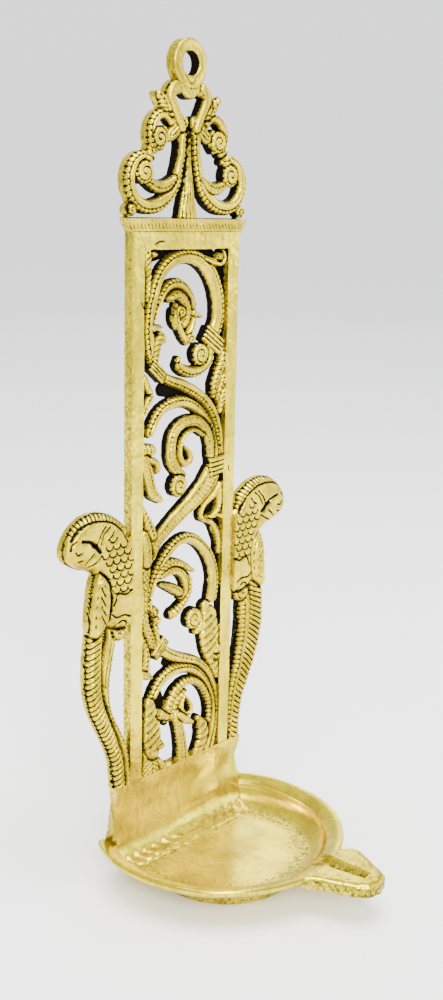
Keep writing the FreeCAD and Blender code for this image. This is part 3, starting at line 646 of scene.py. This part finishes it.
LEFT_LEAVES = [
    ([(-20.4, 229), (-19.8, 221), (-20.6, 213)], [4.6, 3.4, 2], "slanted"),
    ([(-21, 186), (-19.4, 182.5), (-17.4, 180.4)], [3, 3.6, 2.2], "veined"),
    ([(-21, 174), (-19.6, 177.4), (-17.6, 179.4)], [3, 3.6, 2.2], "veined"),
    ([(-22, 160.5), (-17.2, 160)], [5.4, 4.8], "ribbed"),
    ([(-20.4, 156.4), (-18.4, 150.2), (-16.4, 144.6), (-12.8, 141.6)], [5.6, 5.6, 5.2, 3.4], "veined"),
    ([(-17.4, 156.6), (-14.4, 155), (-14.2, 152.4)], [3, 3.2, 2.8]),
    ([(-21.4, 139.6), (-19, 134.4), (-16.6, 129)], [2, 4.4, 5.2], "leaf"),
    ([(-20.8, 129.6), (-19.4, 124.6), (-19, 119)], [4, 5.4, 5], "veined"),
    ([(-21.6, 91), (-19.4, 84), (-19.8, 77)], [2.4, 4.2, 5], "leaf"),
    ([(-21, 76.4), (-17, 74.6)], [4, 2.8], "veined"),
]
RIGHT_LEAVES = [
    ([(19, 193.4), (19.8, 189.4), (17.4, 185.4), (15.2, 181), (14.6, 176.6)], [3, 4.6, 4.6, 4, 2.2],
     "leaf"),
    ([(21.8, 184.6), (19, 180.6), (17, 175.2)], [3.6, 3.6, 2.2], "leaf"),
    ([(21.4, 179), (19.4, 175.4), (18.4, 170.6)], [3.4, 4, 3], "slanted"),
    ([(19.2, 142.6), (15.6, 138.8), (11.2, 136), (8.9, 132.9), (10, 130.4), (14, 130.2), (17.6, 131.8),
     (19.1, 135.4), (19.3, 140.6)], [3, 3, 2.4, 2.2, 2.4, 2.8, 3, 3, 2.8]),
    ([(10.6, 130), (14.6, 128.4), (17.8, 124.8), (19.3, 120), (19.6, 116)], [2, 2.6, 3, 3, 2.8], "veined"),
    ([(18.4, 130.6), (21.4, 129.4)], [2.2, 3]),
    ([(21.4, 77), (19.2, 75.6)], [4, 3.4]),
]
# Collars: the ends of their middle line, and how wide they are.
COLLARS = [([(9, 200.4), (18.4, 194.2)], 6.2), ([(-18.2, 190.8), (-11.6, 185.4)], 4.6),
           ([(12.6, 149.8), (21, 150.4)], 7.0), ([(-15.6, 81.8), (-9.4, 88)], 4.2)]
# Thin places that were never cut through, black with old polish: points and widths.
WEBS = {
    "vine_scroll_top": [
        ([(-18.6, 227.4), (-13, 228.6), (-6, 230)], 4.2),
        ([(5, 230), (13, 228.6), (18.4, 222)], 3.6),
        ([(19.6, 224), (20.6, 212), (20.2, 200), (19, 192)], 3.4),
    ],
    "vine_scroll_upper": [
        ([(-10.5, 181), (-3, 179.4), (4, 176.6), (10, 172.8), (14, 167.4)], 5),
        ([(18, 190), (20.6, 178), (21, 166), (20.6, 154)], 3.6),
    ],
    "vine_scroll_lower": [
        ([(17.4, 143), (16, 136.4), (17.6, 128), (20.4, 118), (20.6, 104)], [6, 8, 5, 3, 3]),
    ],
    "vine_scroll_bottom": [
        ([(-7, 77.4), (0, 75.4), (8, 71.4), (13.4, 65.4), (16.4, 57)], 3.6),
        ([(-12.4, 67.4), (-9.4, 60), (-7.4, 54)], 4.4),
        ([(20, 60), (21, 48), (20.4, 36)], 3),
    ],
}
# Curled scroll ends: middle and radius.
BOSSES = {
    "vine_scroll_top": [(7.1, 192.6, 4.2), (-3.6, 208.2, 2.5), (1.8, 198.6, 2.2), (16.4, 227.2, 1.7)],
    "vine_scroll_upper": [(-3.4, 145.4, 4.4)],
    "vine_scroll_lower": [(5.8, 92.2, 4.3), (-15.2, 99.6, 2.2), (18.8, 73.8, 2.2)],
    "vine_scroll_bottom": [(-11.6, 45.6, 2.2)],
}


def panel():
    """The pierced panel: rails, head bar and the vine."""
    cast = Relief((-PANEL_HALF - 1, WINDOW_LOW - 1), (PANEL_HALF + 1, BAR_TOP + 1), 3)
    for name, strokes in (("vine_scroll_bottom", BOTTOM_SCROLL), ("vine_scroll_lower", LOWER_SCROLL),
                          ("vine_scroll_upper", UPPER_SCROLL), ("vine_scroll_top", TOP_SCROLL),
                          ("edge_leaves_left", LEFT_LEAVES), ("edge_leaves_right", RIGHT_LEAVES)):
        cast.piece(name)
        for points, widths in WEBS.get(name, []):
            cast.web(moved(points, VINE_X), widths)
        for points, widths, *look in strokes:
            cast.stroke(moved(points, VINE_X), widths, *look)
        for x, z, r in BOSSES.get(name, []):
            cast.curl(x + VINE_X, z, r)
    cast.piece("stem_collars")
    for ends, across in COLLARS:
        cast.band(*moved(ends, VINE_X), across)
    window = np.minimum(WINDOW_HALF - abs(cast.U), np.minimum(WINDOW_TOP - cast.V, cast.V - WINDOW_LOW))
    cast.height += 0.25 * np.clip(window / 2, 0, 1)
    for name, low, high in (("left_rail", (-PANEL_HALF, WINDOW_LOW), (-WINDOW_HALF, BAR_TOP)),
                            ("right_rail", (WINDOW_HALF, WINDOW_LOW), (PANEL_HALF, BAR_TOP)),
                            ("top_bar", (-WINDOW_HALF, WINDOW_TOP), (WINDOW_HALF, BAR_TOP))):
        cast.piece(name)
        cast.plate(low, high)
    for scratch in ([(-16.4, 231.6), (-14.6, 232.6), (-12.4, 232.8)], [(-22.4, 212), (-21.8, 210.6)],
                    [(24.2, 149), (24.4, 147.6)]):
        cast.engrave(scratch, 0.8, 0.5)
    past = 2.0                  # depth beside a seam, where the metal runs on into the next piece
    ends = (cast.V < WINDOW_LOW + 0.6) | (cast.V > BAR_TOP - 0.6)
    cast.depth[(abs(cast.U) < PANEL_HALF) & ends] = past
    cast.depth[(cast.V < WINDOW_LOW) | (cast.V > BAR_TOP)] = -past
    corner = (abs(abs(cast.U) - WINDOW_HALF) < 0.5) & (cast.V > WINDOW_TOP + 0.5)
    cast.depth[corner] = np.maximum(cast.depth[corner], 1.5)
    cast.finish()
    cast.build(on_back, "brass_relief")


def on_back(u, v, height):
    """From a place on the flat back and a height above it to a point in metres."""
    return np.stack([u, BACK - height, v], axis=1) * MM


# Crest: the right half, which is mirrored
CREST_LEVEL = PLATE + 0.8
CREST = [
    ([(3.4, 269), (3.8, 262), (4.9, 257), (6.6, 252), (10, 247.6), (15, 244.8), (21, 244.3), (25.8, 246.8),
     (28.2, 251.4), (27.8, 256), (25, 259.6), (21.2, 261), (17.8, 260.2)],
     [3.6, 3.8, 4, 4.4, 5, 5.2, 5, 4.8, 4.6, 4.4, 3.8, 3.2, 2.6], "right_ribs"),
    ([(7, 254), (10.6, 251.4), (15, 250.8), (19.4, 252.4)], [2.4, 4.4, 4.6, 3.4], "veined"),
    ([(18.2, 264), (19.8, 259.4)], [3, 3.4], "ribbed"),
    ([(7, 271.6), (10.4, 274.4), (14.2, 274.3), (17.5, 271.4), (18.4, 267), (16.8, 263)],
     [4.4, 3.9, 3.7, 3.6, 3.6, 3.6], "left_ribs"),
    ([(8.8, 275.6), (12.2, 278.4), (14.8, 280.6)], [4.6, 5, 2.8], "leaf"),
    ([(9.6, 276.6), (10.8, 280.4)], [3, 2], "plain"),
    ([(12, 270), (11.4, 267), (13.4, 264)], [2, 3.4, 3], "plain"),
]
CREST_BOSSES = [(21.6, 255.5, 4.0), (14.8, 266.8, 3.9), (27.6, 243.1, 2.2)]
EYE_HOLDERS = [
    ([(3, 272.4), (8.8, 268)], [5, 4.6], "collar"),
    ([(0.5, 284), (6.4, 283.6), (9, 280.8), (7, 276.8), (3.6, 270.6)], [5, 5.2, 4.4, 3.8, 3.6], "plain"),
]
OTHER_SIDE = {"left_ribs": "right_ribs", "right_ribs": "left_ribs"}


def crest():
    cast = Relief((-CREST_HALF - 1.5, BAR_TOP - 1), (CREST_HALF + 1.5, eye_high.z + 1), 5, 3.0, 1.4)
    for side, name in ((-1, "crest_scroll_left"), (1, "crest_scroll_right")):
        cast.piece(name)
        for points, widths, look in CREST:
            look = look if side > 0 else OTHER_SIDE.get(look, look)
            cast.stroke(moved(points, side=side), widths, look, CREST_LEVEL)
        for x, z, r in CREST_BOSSES:
            cast.curl(side * x, z, r, side, CREST_LEVEL + 0.1)
    cast.piece("crest_stem")
    stem = [(0, 269), (0, 258), (0, 250), (0, 244), (0, CREST_LOW - 1)]
    cast.stroke(stem, [2, 3.2, 5.6, 8.2, 9.8], "flutes", CREST_LEVEL)
    cast.piece("hanging_eye")
    for side in (-1, 1):
        for points, widths, look in EYE_HOLDERS:
            cast.stroke(moved(points, side=side), widths, look, CREST_LEVEL)
    cast.stroke([(0, 285), (0, 287.4)], [10, 10.6], "plain", CREST_LEVEL, 0.3)
    from_eye = np.hypot(cast.U, cast.V - EYE_Z)
    crown, fall = 6.1, 2.1      # radius of the ring's highest line, and how far off it has fallen
    cast.add(EYE_R - from_eye, CREST_LEVEL - 0.25 - 0.6 * ((from_eye - crown) / fall)**2)
    cast.depth = np.minimum(cast.depth, from_eye - EYE_HOLE)
    for scratch in ([(-3, 287.8), (0, 285), (3, 287.8)], [(0, 285), (-0.2, 282.6)],
                    [(4, 283.6), (6.4, 281.8)]):
        cast.engrave(scratch, 0.5, 0.45)
    cast.piece("crest_bar")
    widen = (cast.V - BAR_TOP) / (CREST_LOW - BAR_TOP)
    half = PANEL_HALF + (CREST_HALF - PANEL_HALF) * np.clip(widen, 0, 1)
    bar = np.minimum(half - abs(cast.U), np.minimum(CREST_LOW - cast.V, cast.V - BAR_TOP))
    fade = np.clip(1.6 - abs(cast.V - BAR_TOP - 2) / 0.9, 0.15, 1)
    milled = 0.5 * wave(cast.U + 0.4 * cast.V, 1.7)**2 * fade + 0.6 * bell(cast.V - BAR_TOP, 0.5)
    cast.add(bar, CREST_LEVEL + 0.1 - milled, notch=0.35, soot=1.1 * milled)
    touching = (abs(cast.V - CREST_LOW) < 0.4) & (cast.depth > -0.2) & (abs(cast.U) < CREST_HALF - 0.6)
    cast.depth[touching] = np.maximum(cast.depth[touching], 0.6)
    past = 1.5                  # depth beside the seam with the panel
    cast.depth[(cast.V <= BAR_TOP + 0.5) & (half - abs(cast.U) > 0)] = past
    cast.depth[cast.V < BAR_TOP] = -past
    cast.finish()
    cast.build(on_back, "brass_relief")


# Parrots, drawn on the right; the left-hand one is mirrored and has tail feathers of its own
PARROT_OUTLINE = [(21, 127), (27.4, 130.6), (29.9, 132.6), (30.4, 135.8), (34.2, 138.8), (38.2, 140.8),
    (43.2, 141.8), (49.2, 141.2), (54.2, 138.4), (57.6, 134.2), (58.7, 130.2), (57.2, 126.6), (53, 123.8),
    (48, 122.2), (44.8, 120.4), (43, 115), (41.6, 108), (40, 101.4), (35.4, 98), (28, 97.4), (21, 99),
    (19.6, 112)]
WING_OUTLINE = [(43, 121.2), (39, 117.6), (37.4, 112), (37.9, 106), (39.2, 101.4), (42.4, 98), (45, 96.6),
    (47, 99), (47.2, 105), (46.4, 111.6), (45.2, 117.4)]
TAILS = {
    "right": [
        ([(34.8, 99), (36, 91), (36, 82.4), (34.8, 74), (32.8, 66), (30.6, 58.4), (29, 50), (28.4, 42),
         (28.2, 33)], [5.4, 6.2, 6.4, 6, 5.4, 4.8, 4.2, 4.2, 5]),
        ([(42.4, 101), (43.2, 92), (43, 83), (41.4, 75), (38.8, 67.4), (35.6, 60), (33.2, 52.6), (32, 45),
         (31.4, 33)], [7, 8.2, 8.8, 8.8, 8, 7, 6, 5.6, 5.6]),
    ],
    "left": [
        ([(36, 98), (37.6, 91), (39.2, 84), (39.9, 76), (39, 69), (36.4, 62.6), (32.8, 56), (30.4, 49.6),
         (29.2, 42), (28.8, 33)], [5, 5.4, 5.4, 5, 4.8, 4.6, 4.4, 4, 4, 4.4]),
        ([(43.6, 101), (44.4, 94), (45, 85), (44.6, 76), (42.6, 69), (39.4, 62), (35.8, 54), (33.2, 46),
         (32, 33)], [6, 6.6, 7, 6.8, 6.4, 6, 5.4, 5.2, 5.4]),
    ],
}
NAPE = [(29.6, 129.6), (31.4, 132.2), (33.6, 134.8), (36.6, 137.2), (40, 138.6), (45, 139.4), (50, 138.9),
    (53.6, 137.2), (56, 134.4)]


def scales(cast, inside):
    """Overlapping feather scales where inside() allows."""
    for row in range(8):
        for n in range(6):
            u, v = 28.4 + 3.5 * n + 1.75 * (row % 2), 113.4 + 2.7 * row
            if inside(u, v):
                cast.engrave(arc(u, v, 1.7, 185, 355), 0.7, 0.6)


def parrot(side, word):
    """A parrot with a scaled breast, round head, hooked beak, folded wing and long tail feathers."""
    cast = Relief((PANEL_HALF, WINDOW_LOW), (60.5, 143.5), 7 + side, 1.5, 2.2)
    cast.piece("parrot_tail_" + word)
    for feather, look in zip(TAILS[word], ("tail_short", "tail_long")):
        cast.stroke(*feather, look, PLATE + 1.1, 0.4)
    cast.curl(33.2, 97.2, 4.2, 1, PLATE + 1.2)
    body = cast.field(PARROT_OUTLINE)
    cast.piece("parrot_body_" + word)
    head = np.clip(1 - ((cast.U - 50.5)**2 + (cast.V - 131.6)**2) / 75, 0, 1)
    cast.add(body, rounded(body, 3.6, 1.5, PLATE + 1.5) + 0.6 * head**0.5)
    scales(cast, lambda u, v: u < 42 - abs(v - 127) * 0.35 and v < 129 + (u - 28) * 0.4)
    cast.engrave(NAPE, 0.8, 0.8)
    ends, _ = smooth(NAPE, 1.55)
    for before, (u, v), after in zip(ends, ends[1:], ends[2:]):
        du, dv = (after - before) / math.hypot(*(after - before))
        cast.engrave([(u - 0.7 * dv, v + 0.7 * du), (u - 2.6 * dv - 0.5 * du, v + 2.6 * du - 0.5 * dv)],
                     0.6, 0.6)
    for line in ([(38.6, 136.6), (41.4, 134.6), (43.2, 131.2)], [(40.8, 137), (43.4, 134.2), (44.8, 131)],
                 [(36.6, 134.6), (38.2, 132.8), (39.8, 131.9)], [(46.6, 128.4), (48.6, 127), (50.4, 125.4)],
                 [(43, 126.8), (46.2, 124.9), (48.6, 124)], [(54.2, 134.2), (56, 133.2), (56.8, 131.4)],
                 [(52.4, 129.8), (54, 129.4), (55, 130.6)], [(52.2, 127.2), (53.6, 126.9)]):
        cast.engrave(line)
    cast.engrave([(43, 128.4), (45.4, 131), (48.6, 133), (52, 133.8)], 1.0, 1.0)
    cast.engrave([(43.6, 128.6), (45.4, 130.6), (47, 131.6)], 1.6, 1.0)
    cast.engrave([(27.4, 111.8), (31, 110.6), (34.6, 111.4), (36.6, 107.6)], 0.8, 0.8)
    cast.engrave([(29, 102), (32, 103.2), (35.6, 103), (37.6, 104.4)], 0.7, 0.7)
    cast.engrave(arc(33, 98.6, 2.6, 10, 170), 0.7, 0.7)
    wing = cast.field(WING_OUTLINE)
    cast.piece("parrot_wing_" + word)
    cast.add(wing, rounded(wing, 3.0, 1.6, PLATE + 2.2), 0.9, 0.9)
    for shrink in (1.6, 3.0):
        ring = 0.5 * bell(wing - shrink, 0.32) * (cast.V > 101) * (cast.owner == cast.current)
        dashes = wave(cast.V, 3.4)
        cast.height -= ring * dashes**0.5
        cast.soot = np.maximum(cast.soot, 1.4 * ring * dashes)
    for v in (103, 106.4, 109.8, 113.2):
        cast.engrave([(41.4, v - 1), (42.6, v + 1), (43.4, v + 2.6)], 0.6, 0.55)
    beside_rail = (cast.U < PANEL_HALF + 0.3) & (cast.depth > 0)
    cast.depth[beside_rail] = 0.8
    cast.finish()
    across, up = np.array(TAILS[word][0][0])[::-1].T
    faces_rail = (cast.U < np.interp(cast.V, up, across)) & (cast.V < 99)
    rail_grime, outer_grime = 0.85, 0.36
    cast.wall = np.where(faces_rail, rail_grime, outer_grime)
    if side > 0:
        cast.build(on_back, "brass_relief")
    else:
        for piece in cast.build(lambda u, v, height: on_back(-u, v, height), "brass_relief"):
            piece.data.flip_normals()


# Bowl, foot ring, apron and spout
SPOUT_OUTLINE = [(12.6, 43), (13.2, 45.6), (16.2, 48.4), (15.6, 52.4), (11.2, 59.2), (9, 63.2), (5.4, 67.4),
    (0, 68.6), (-5, 66.8), (-7.6, 63), (-9.4, 56.7), (-11, 50.4), (-12.6, 46.8), (-15.5, 42)]
SPOUT_T = 4.6                   # thickness of the spout
SPOUT_TURN = math.radians(7.3)  # how far it points to the right


def groove_depth(across, reach):
    """Depth of the wick groove at a place seen from the bowl's axis along the spout."""
    half = 3.4 - 0.06 * (reach - 44)
    middle = across - 1.6 + 0.05 * (reach - 47)
    ends = np.clip((62.6 - reach) / 2.2, 0, 1)
    return 2.6 * np.sqrt(np.clip(1 - (middle / half)**2, 0, 1)) * np.sqrt(ends)


def spout_frame(x, y):
    """Distance to the right of the spout's middle line, and reach from the bowl's axis."""
    ahead = BOWL_Y - y
    return (x * math.cos(SPOUT_TURN) - ahead * math.sin(SPOUT_TURN),
            x * math.sin(SPOUT_TURN) + ahead * math.cos(SPOUT_TURN))


def bowl():
    inner = BOWL_R - RIM_LAND
    rise = RIM_TOP - 2.4 - FLOOR
    wall = [(FLOOR_R + (inner - FLOOR_R) * math.sin(a), FLOOR + rise * (1 - math.cos(a)))
            for a in np.radians(np.linspace(0, 90, 14))]
    under = [(BOWL_R - 0.8, RIM_TOP - 0.05), (BOWL_R - 0.2, RIM_TOP - 0.5), (BOWL_R, RIM_TOP - 1.2),
             (BOWL_R - 0.4, RIM_TOP - 2.2), (BOWL_R - 3, RIM_TOP - 4.2), (FOOT_R + 6, FOOT_TOP + 1.6),
             (FOOT_R + 4, FOOT_TOP)]
    floor_rings = [(0, FLOOR)] + [(r, FLOOR) for r in (6, 12, 18, 24)]
    rim = [(inner + 0.4 + 0.7 * k, RIM_TOP - 2.1 * (1 - k / 8)**1.6) for k in range(9)]
    base = [(18, FOOT_TOP), (8, FOOT_TOP), (0, FOOT_TOP)]
    bm = lathe(floor_rings + wall + rim + under + base)
    wobble(bm, 0.3, 17, lambda co: co.z > FOOT_TOP + 0.1 and co.y < BACK - 1)
    for v in bm.verts:
        across, reach = spout_frame(v.co.x, v.co.y)
        if v.co.z > RIM_TOP - 1.4 and reach > 36:
            v.co.z -= 0.75 * min(1.0, (reach - 36) / 6) * groove_depth(across, reach)
    cut_back(bm, BACK)

    def dirt_and_shade(co):
        r = math.hypot(co.x, co.y - BOWL_Y)
        # painted shade under the bowl: its lower body by the foot and its underside are darkened
        if co.z < FOOT_TOP + 3 and r > FOOT_R or co.z <= FOOT_TOP + 0.1:
            return 0.4
        across, reach = spout_frame(co.x, co.y)
        stain = 0.3 if reach > 40 and abs(across - 1.8) < 3.4 and r > inner - 1 else 0.0
        return 0.04 + stain + 0.1 * math.exp(-((r - inner) / 0.9)**2) + 0.22 * (r > BOWL_R - 0.5)
    mesh_piece("oil_bowl", bm, "brass_bowl", dirt_and_shade)


def foot_ring():
    profile = [(FOOT_R - 3.4, 0.2), (FOOT_R - 3, 0), (FOOT_R - 1.6, 0), (FOOT_R - 0.7, 0.7),
               (FOOT_R, FOOT_TOP), (FOOT_R - 3.4, FOOT_TOP)]
    bm = lathe(finely(profile, 1.2), FOOT_Y)
    wobble(bm, 0.25, 9, lambda co: 0.3 < co.z < FOOT_TOP - 0.3 and co.y < BACK - 1)
    cut_back(bm, BACK)
    # painted shade under the bowl: the whole foot ring is darkened
    mesh_piece("foot_ring", bm, "brass_bowl", lambda co: 0.4)


def apron():
    """The smooth lower plate with its concave root and the rough pad on the bowl's floor."""
    root, pad_y, pad_top = 6.5, FACE - 10.0, FLOOR + 1.2
    curve = [(FACE - root + root * math.cos(a), pad_top + root - root * math.sin(a))
             for a in np.radians(np.linspace(0, 90, 16))]
    pad = [(pad_y + 2.2, pad_top - 0.1), (pad_y + 0.8, pad_top - 0.5), (pad_y, FLOOR - 0.1),
           (pad_y, FLOOR - 0.4)]
    back = [(BACK, FLOOR - 0.4), (BACK, WINDOW_LOW - 0.01)]
    section = finely([(FACE, WINDOW_LOW - 0.01)] + curve + pad + back, 0.7)
    rows = []
    bm = bmesh.new()
    for share in np.linspace(-1, 1, 110):
        row = []
        for y, z in section:
            half = np.interp(z, [0, RIM_TOP, 20, 28, WINDOW_LOW], [36.4, 36.4, 34.8, 33.6, 34.6])
            if z < RIM_TOP - 0.6:
                half = min(half, math.sqrt(max(0.0, (BOWL_R - RIM_LAND - 0.6)**2 - (y - BOWL_Y)**2)))
            row.append(bm.verts.new((share * half, y, z)))
        rows.append(row)
    for a, b in zip(rows, rows[1:]):
        for k in range(len(section)):
            n = (k + 1) % len(section)
            bm.faces.new((a[k], a[n], b[n], b[k]))
    bm.faces.new(rows[0][::-1])
    bm.faces.new(rows[-1])
    for v in bm.verts:
        if v.co.y < BACK - 0.5 and v.co.z < WINDOW_LOW - 0.5:
            low = min(1.0, max(0.0, 1 - (v.co.z - pad_top) / 5))
            fine = noise.noise_vector(v.co / 3.4) * 0.35 * low
            v.co += noise.noise_vector(v.co / 11) * (0.3 + 0.3 * low) + fine
            if v.co.y < FACE + 1:
                v.co.y += 1.7 * math.sin(math.pi * min(1.0, max(0.0, (WINDOW_LOW - v.co.z) / 22)))**2
            if v.co.y < FACE - 3:
                swirl = math.hypot(v.co.x - 2, v.co.y - FACE - 6)
                v.co.z += 0.3 * low * math.sin(swirl * 1.5 + 0.4 * math.sin(v.co.x / 3))

    def dirt_and_shade(co):
        if co.y > BACK - 0.3:
            return BACK_GRIME
        # darker at the pad's front edge and along the crease at its root
        edge = 0.12 if co.y < pad_y + 0.5 else 0.0
        crease = 0.2 * max(0.0, 1 - abs(co.z - pad_top - 0.7) / 1.2) * (co.y > pad_y + 2)
        # painted shade: the apron is darker towards its top, standing in for the dark band that its concave
        # top reflects
        return max(edge, crease, 0.2 * min(1.0, max(0.0, (co.z - WINDOW_LOW + 14) / 9))) + 0.03
    mesh_piece("apron_plate", bm, "brass_frame", dirt_and_shade)


def turned_out(u, v, height):
    """From a place across and along the spout and a height in it to a point in metres."""
    return np.stack([u * math.cos(SPOUT_TURN) + v * math.sin(SPOUT_TURN),
                     BOWL_Y + u * math.sin(SPOUT_TURN) - v * math.cos(SPOUT_TURN),
                     RIM_TOP - SPOUT_T + height], axis=1) * MM


def spout():
    cast = Relief((-18, 38), (18, 71), 11)
    cast.piece("wick_spout")
    ring = np.hypot(cast.U, cast.V) - (BOWL_R - 0.7)
    outline = cast.field(SPOUT_OUTLINE, True)
    cast.add(np.minimum(outline, ring), SPOUT_T + 0.1 - 1.1 * np.exp(-np.clip(outline, 0, 9) / 0.9))
    groove = groove_depth(cast.U, cast.V)
    cast.height -= groove
    cast.finish()
    cast.wall[:] = 0.5
    cast.grime_and_shade = np.clip(0.6 * cast.grime_and_shade + 0.25 * groove, 0, 1)
    cast.build(turned_out, "brass_bowl")[0].data.flip_normals()


# Studio
SKY = 1.45                      # strength of the even light all round
# Soft boxes: name, place in metres, size, watts. The last one shines back from the bowl's floor.
SOFT_BOXES = [("key", (-0.75, -0.8, 0.75), 0.45, 22), ("fill", (0.9, -0.5, 0.5), 0.7, 6),
              ("top", (-0.1, -0.1, 1.2), 0.8, 26), ("back", (1.71, 1.39, 1.38), 1.0, 10)]


def floor_and_light():
    """A pale floor that curves up far from the lamp on every side, an even sky and soft boxes."""
    flat, bend = 2.4, 1.4       # metres the floor runs flat, and the radius of its curve
    profile = [(0.0, 0.0), (flat / 2, 0.0), (flat, 0.0)]
    for a in np.radians(np.linspace(6, 90, 15)):
        profile.append((flat + bend * math.sin(a), bend - bend * math.cos(a)))
    bm = bmesh.new()
    rings = []
    for r, z in profile:
        spin = np.linspace(0, 2 * math.pi, 64, endpoint=False) if r else [0.0]
        rings.append([bm.verts.new((r * math.cos(a), r * math.sin(a), z)) for a in spin])
    for inner, outer in zip(rings, rings[1:]):
        for k in range(len(outer)):
            n = (k + 1) % len(outer)
            ends = [inner[n], inner[k]] if len(inner) > 1 else inner
            bm.faces.new([*ends, outer[k], outer[n]]).smooth = True
    mesh = bpy.data.meshes.new("floor")
    bm.to_mesh(mesh)
    floor = bpy.data.objects.new("floor", mesh)
    show(floor)
    pale = bpy.data.materials.new("pale_floor")
    pale.use_nodes = True
    shader = pale.node_tree.nodes["Principled BSDF"]
    shader.inputs["Base Color"].default_value = (1, 1, 1, 1)
    shader.inputs["Roughness"].default_value = 0.9
    mesh.materials.append(pale)
    world = bpy.data.worlds.new("studio")
    world.use_nodes = True
    sky = world.node_tree.nodes["Background"]
    sky.inputs["Color"].default_value = (1, 1, 1, 1)
    sky.inputs["Strength"].default_value = SKY
    bpy.context.scene.world = world
    for name, spot, size, power in SOFT_BOXES:
        lamp = bpy.data.lights.new(name, "AREA")
        lamp.size, lamp.energy = size, power
        light = bpy.data.objects.new(name, lamp)
        light.location = spot
        way = Vector((0, 0.02, 0.13)) - Vector(spot)
        light.rotation_euler = way.to_track_quat("-Z", "Y").to_euler()
        show(light)


def camera():
    """The view: from the front left, a little above the lamp's middle."""
    yaw, pitch, roll = (math.radians(a) for a in (48.74, 13.52, 1.26))
    lens = bpy.data.cameras.new("camera")
    lens.lens, lens.sensor_width, lens.clip_start = 44.4, 36, 0.01
    lens.shift_x, lens.shift_y = -0.0016, 0.0049
    eye = bpy.data.objects.new("camera", lens)
    eye.location = Vector((-322.4, FACE - 301.5, 244.2)) * MM
    ahead = Vector((math.sin(yaw) * math.cos(pitch), math.cos(yaw) * math.cos(pitch), -math.sin(pitch)))
    eye.rotation_mode = "QUATERNION"
    eye.rotation_quaternion = ahead.to_track_quat("-Z", "Y") @ Quaternion((0, 0, 1), roll)
    show(eye)
    bpy.context.scene.camera = eye


panel()
crest()
parrot(1, "right")
parrot(-1, "left")
bowl()
foot_ring()
apron()
spout()
floor_and_light()
camera()
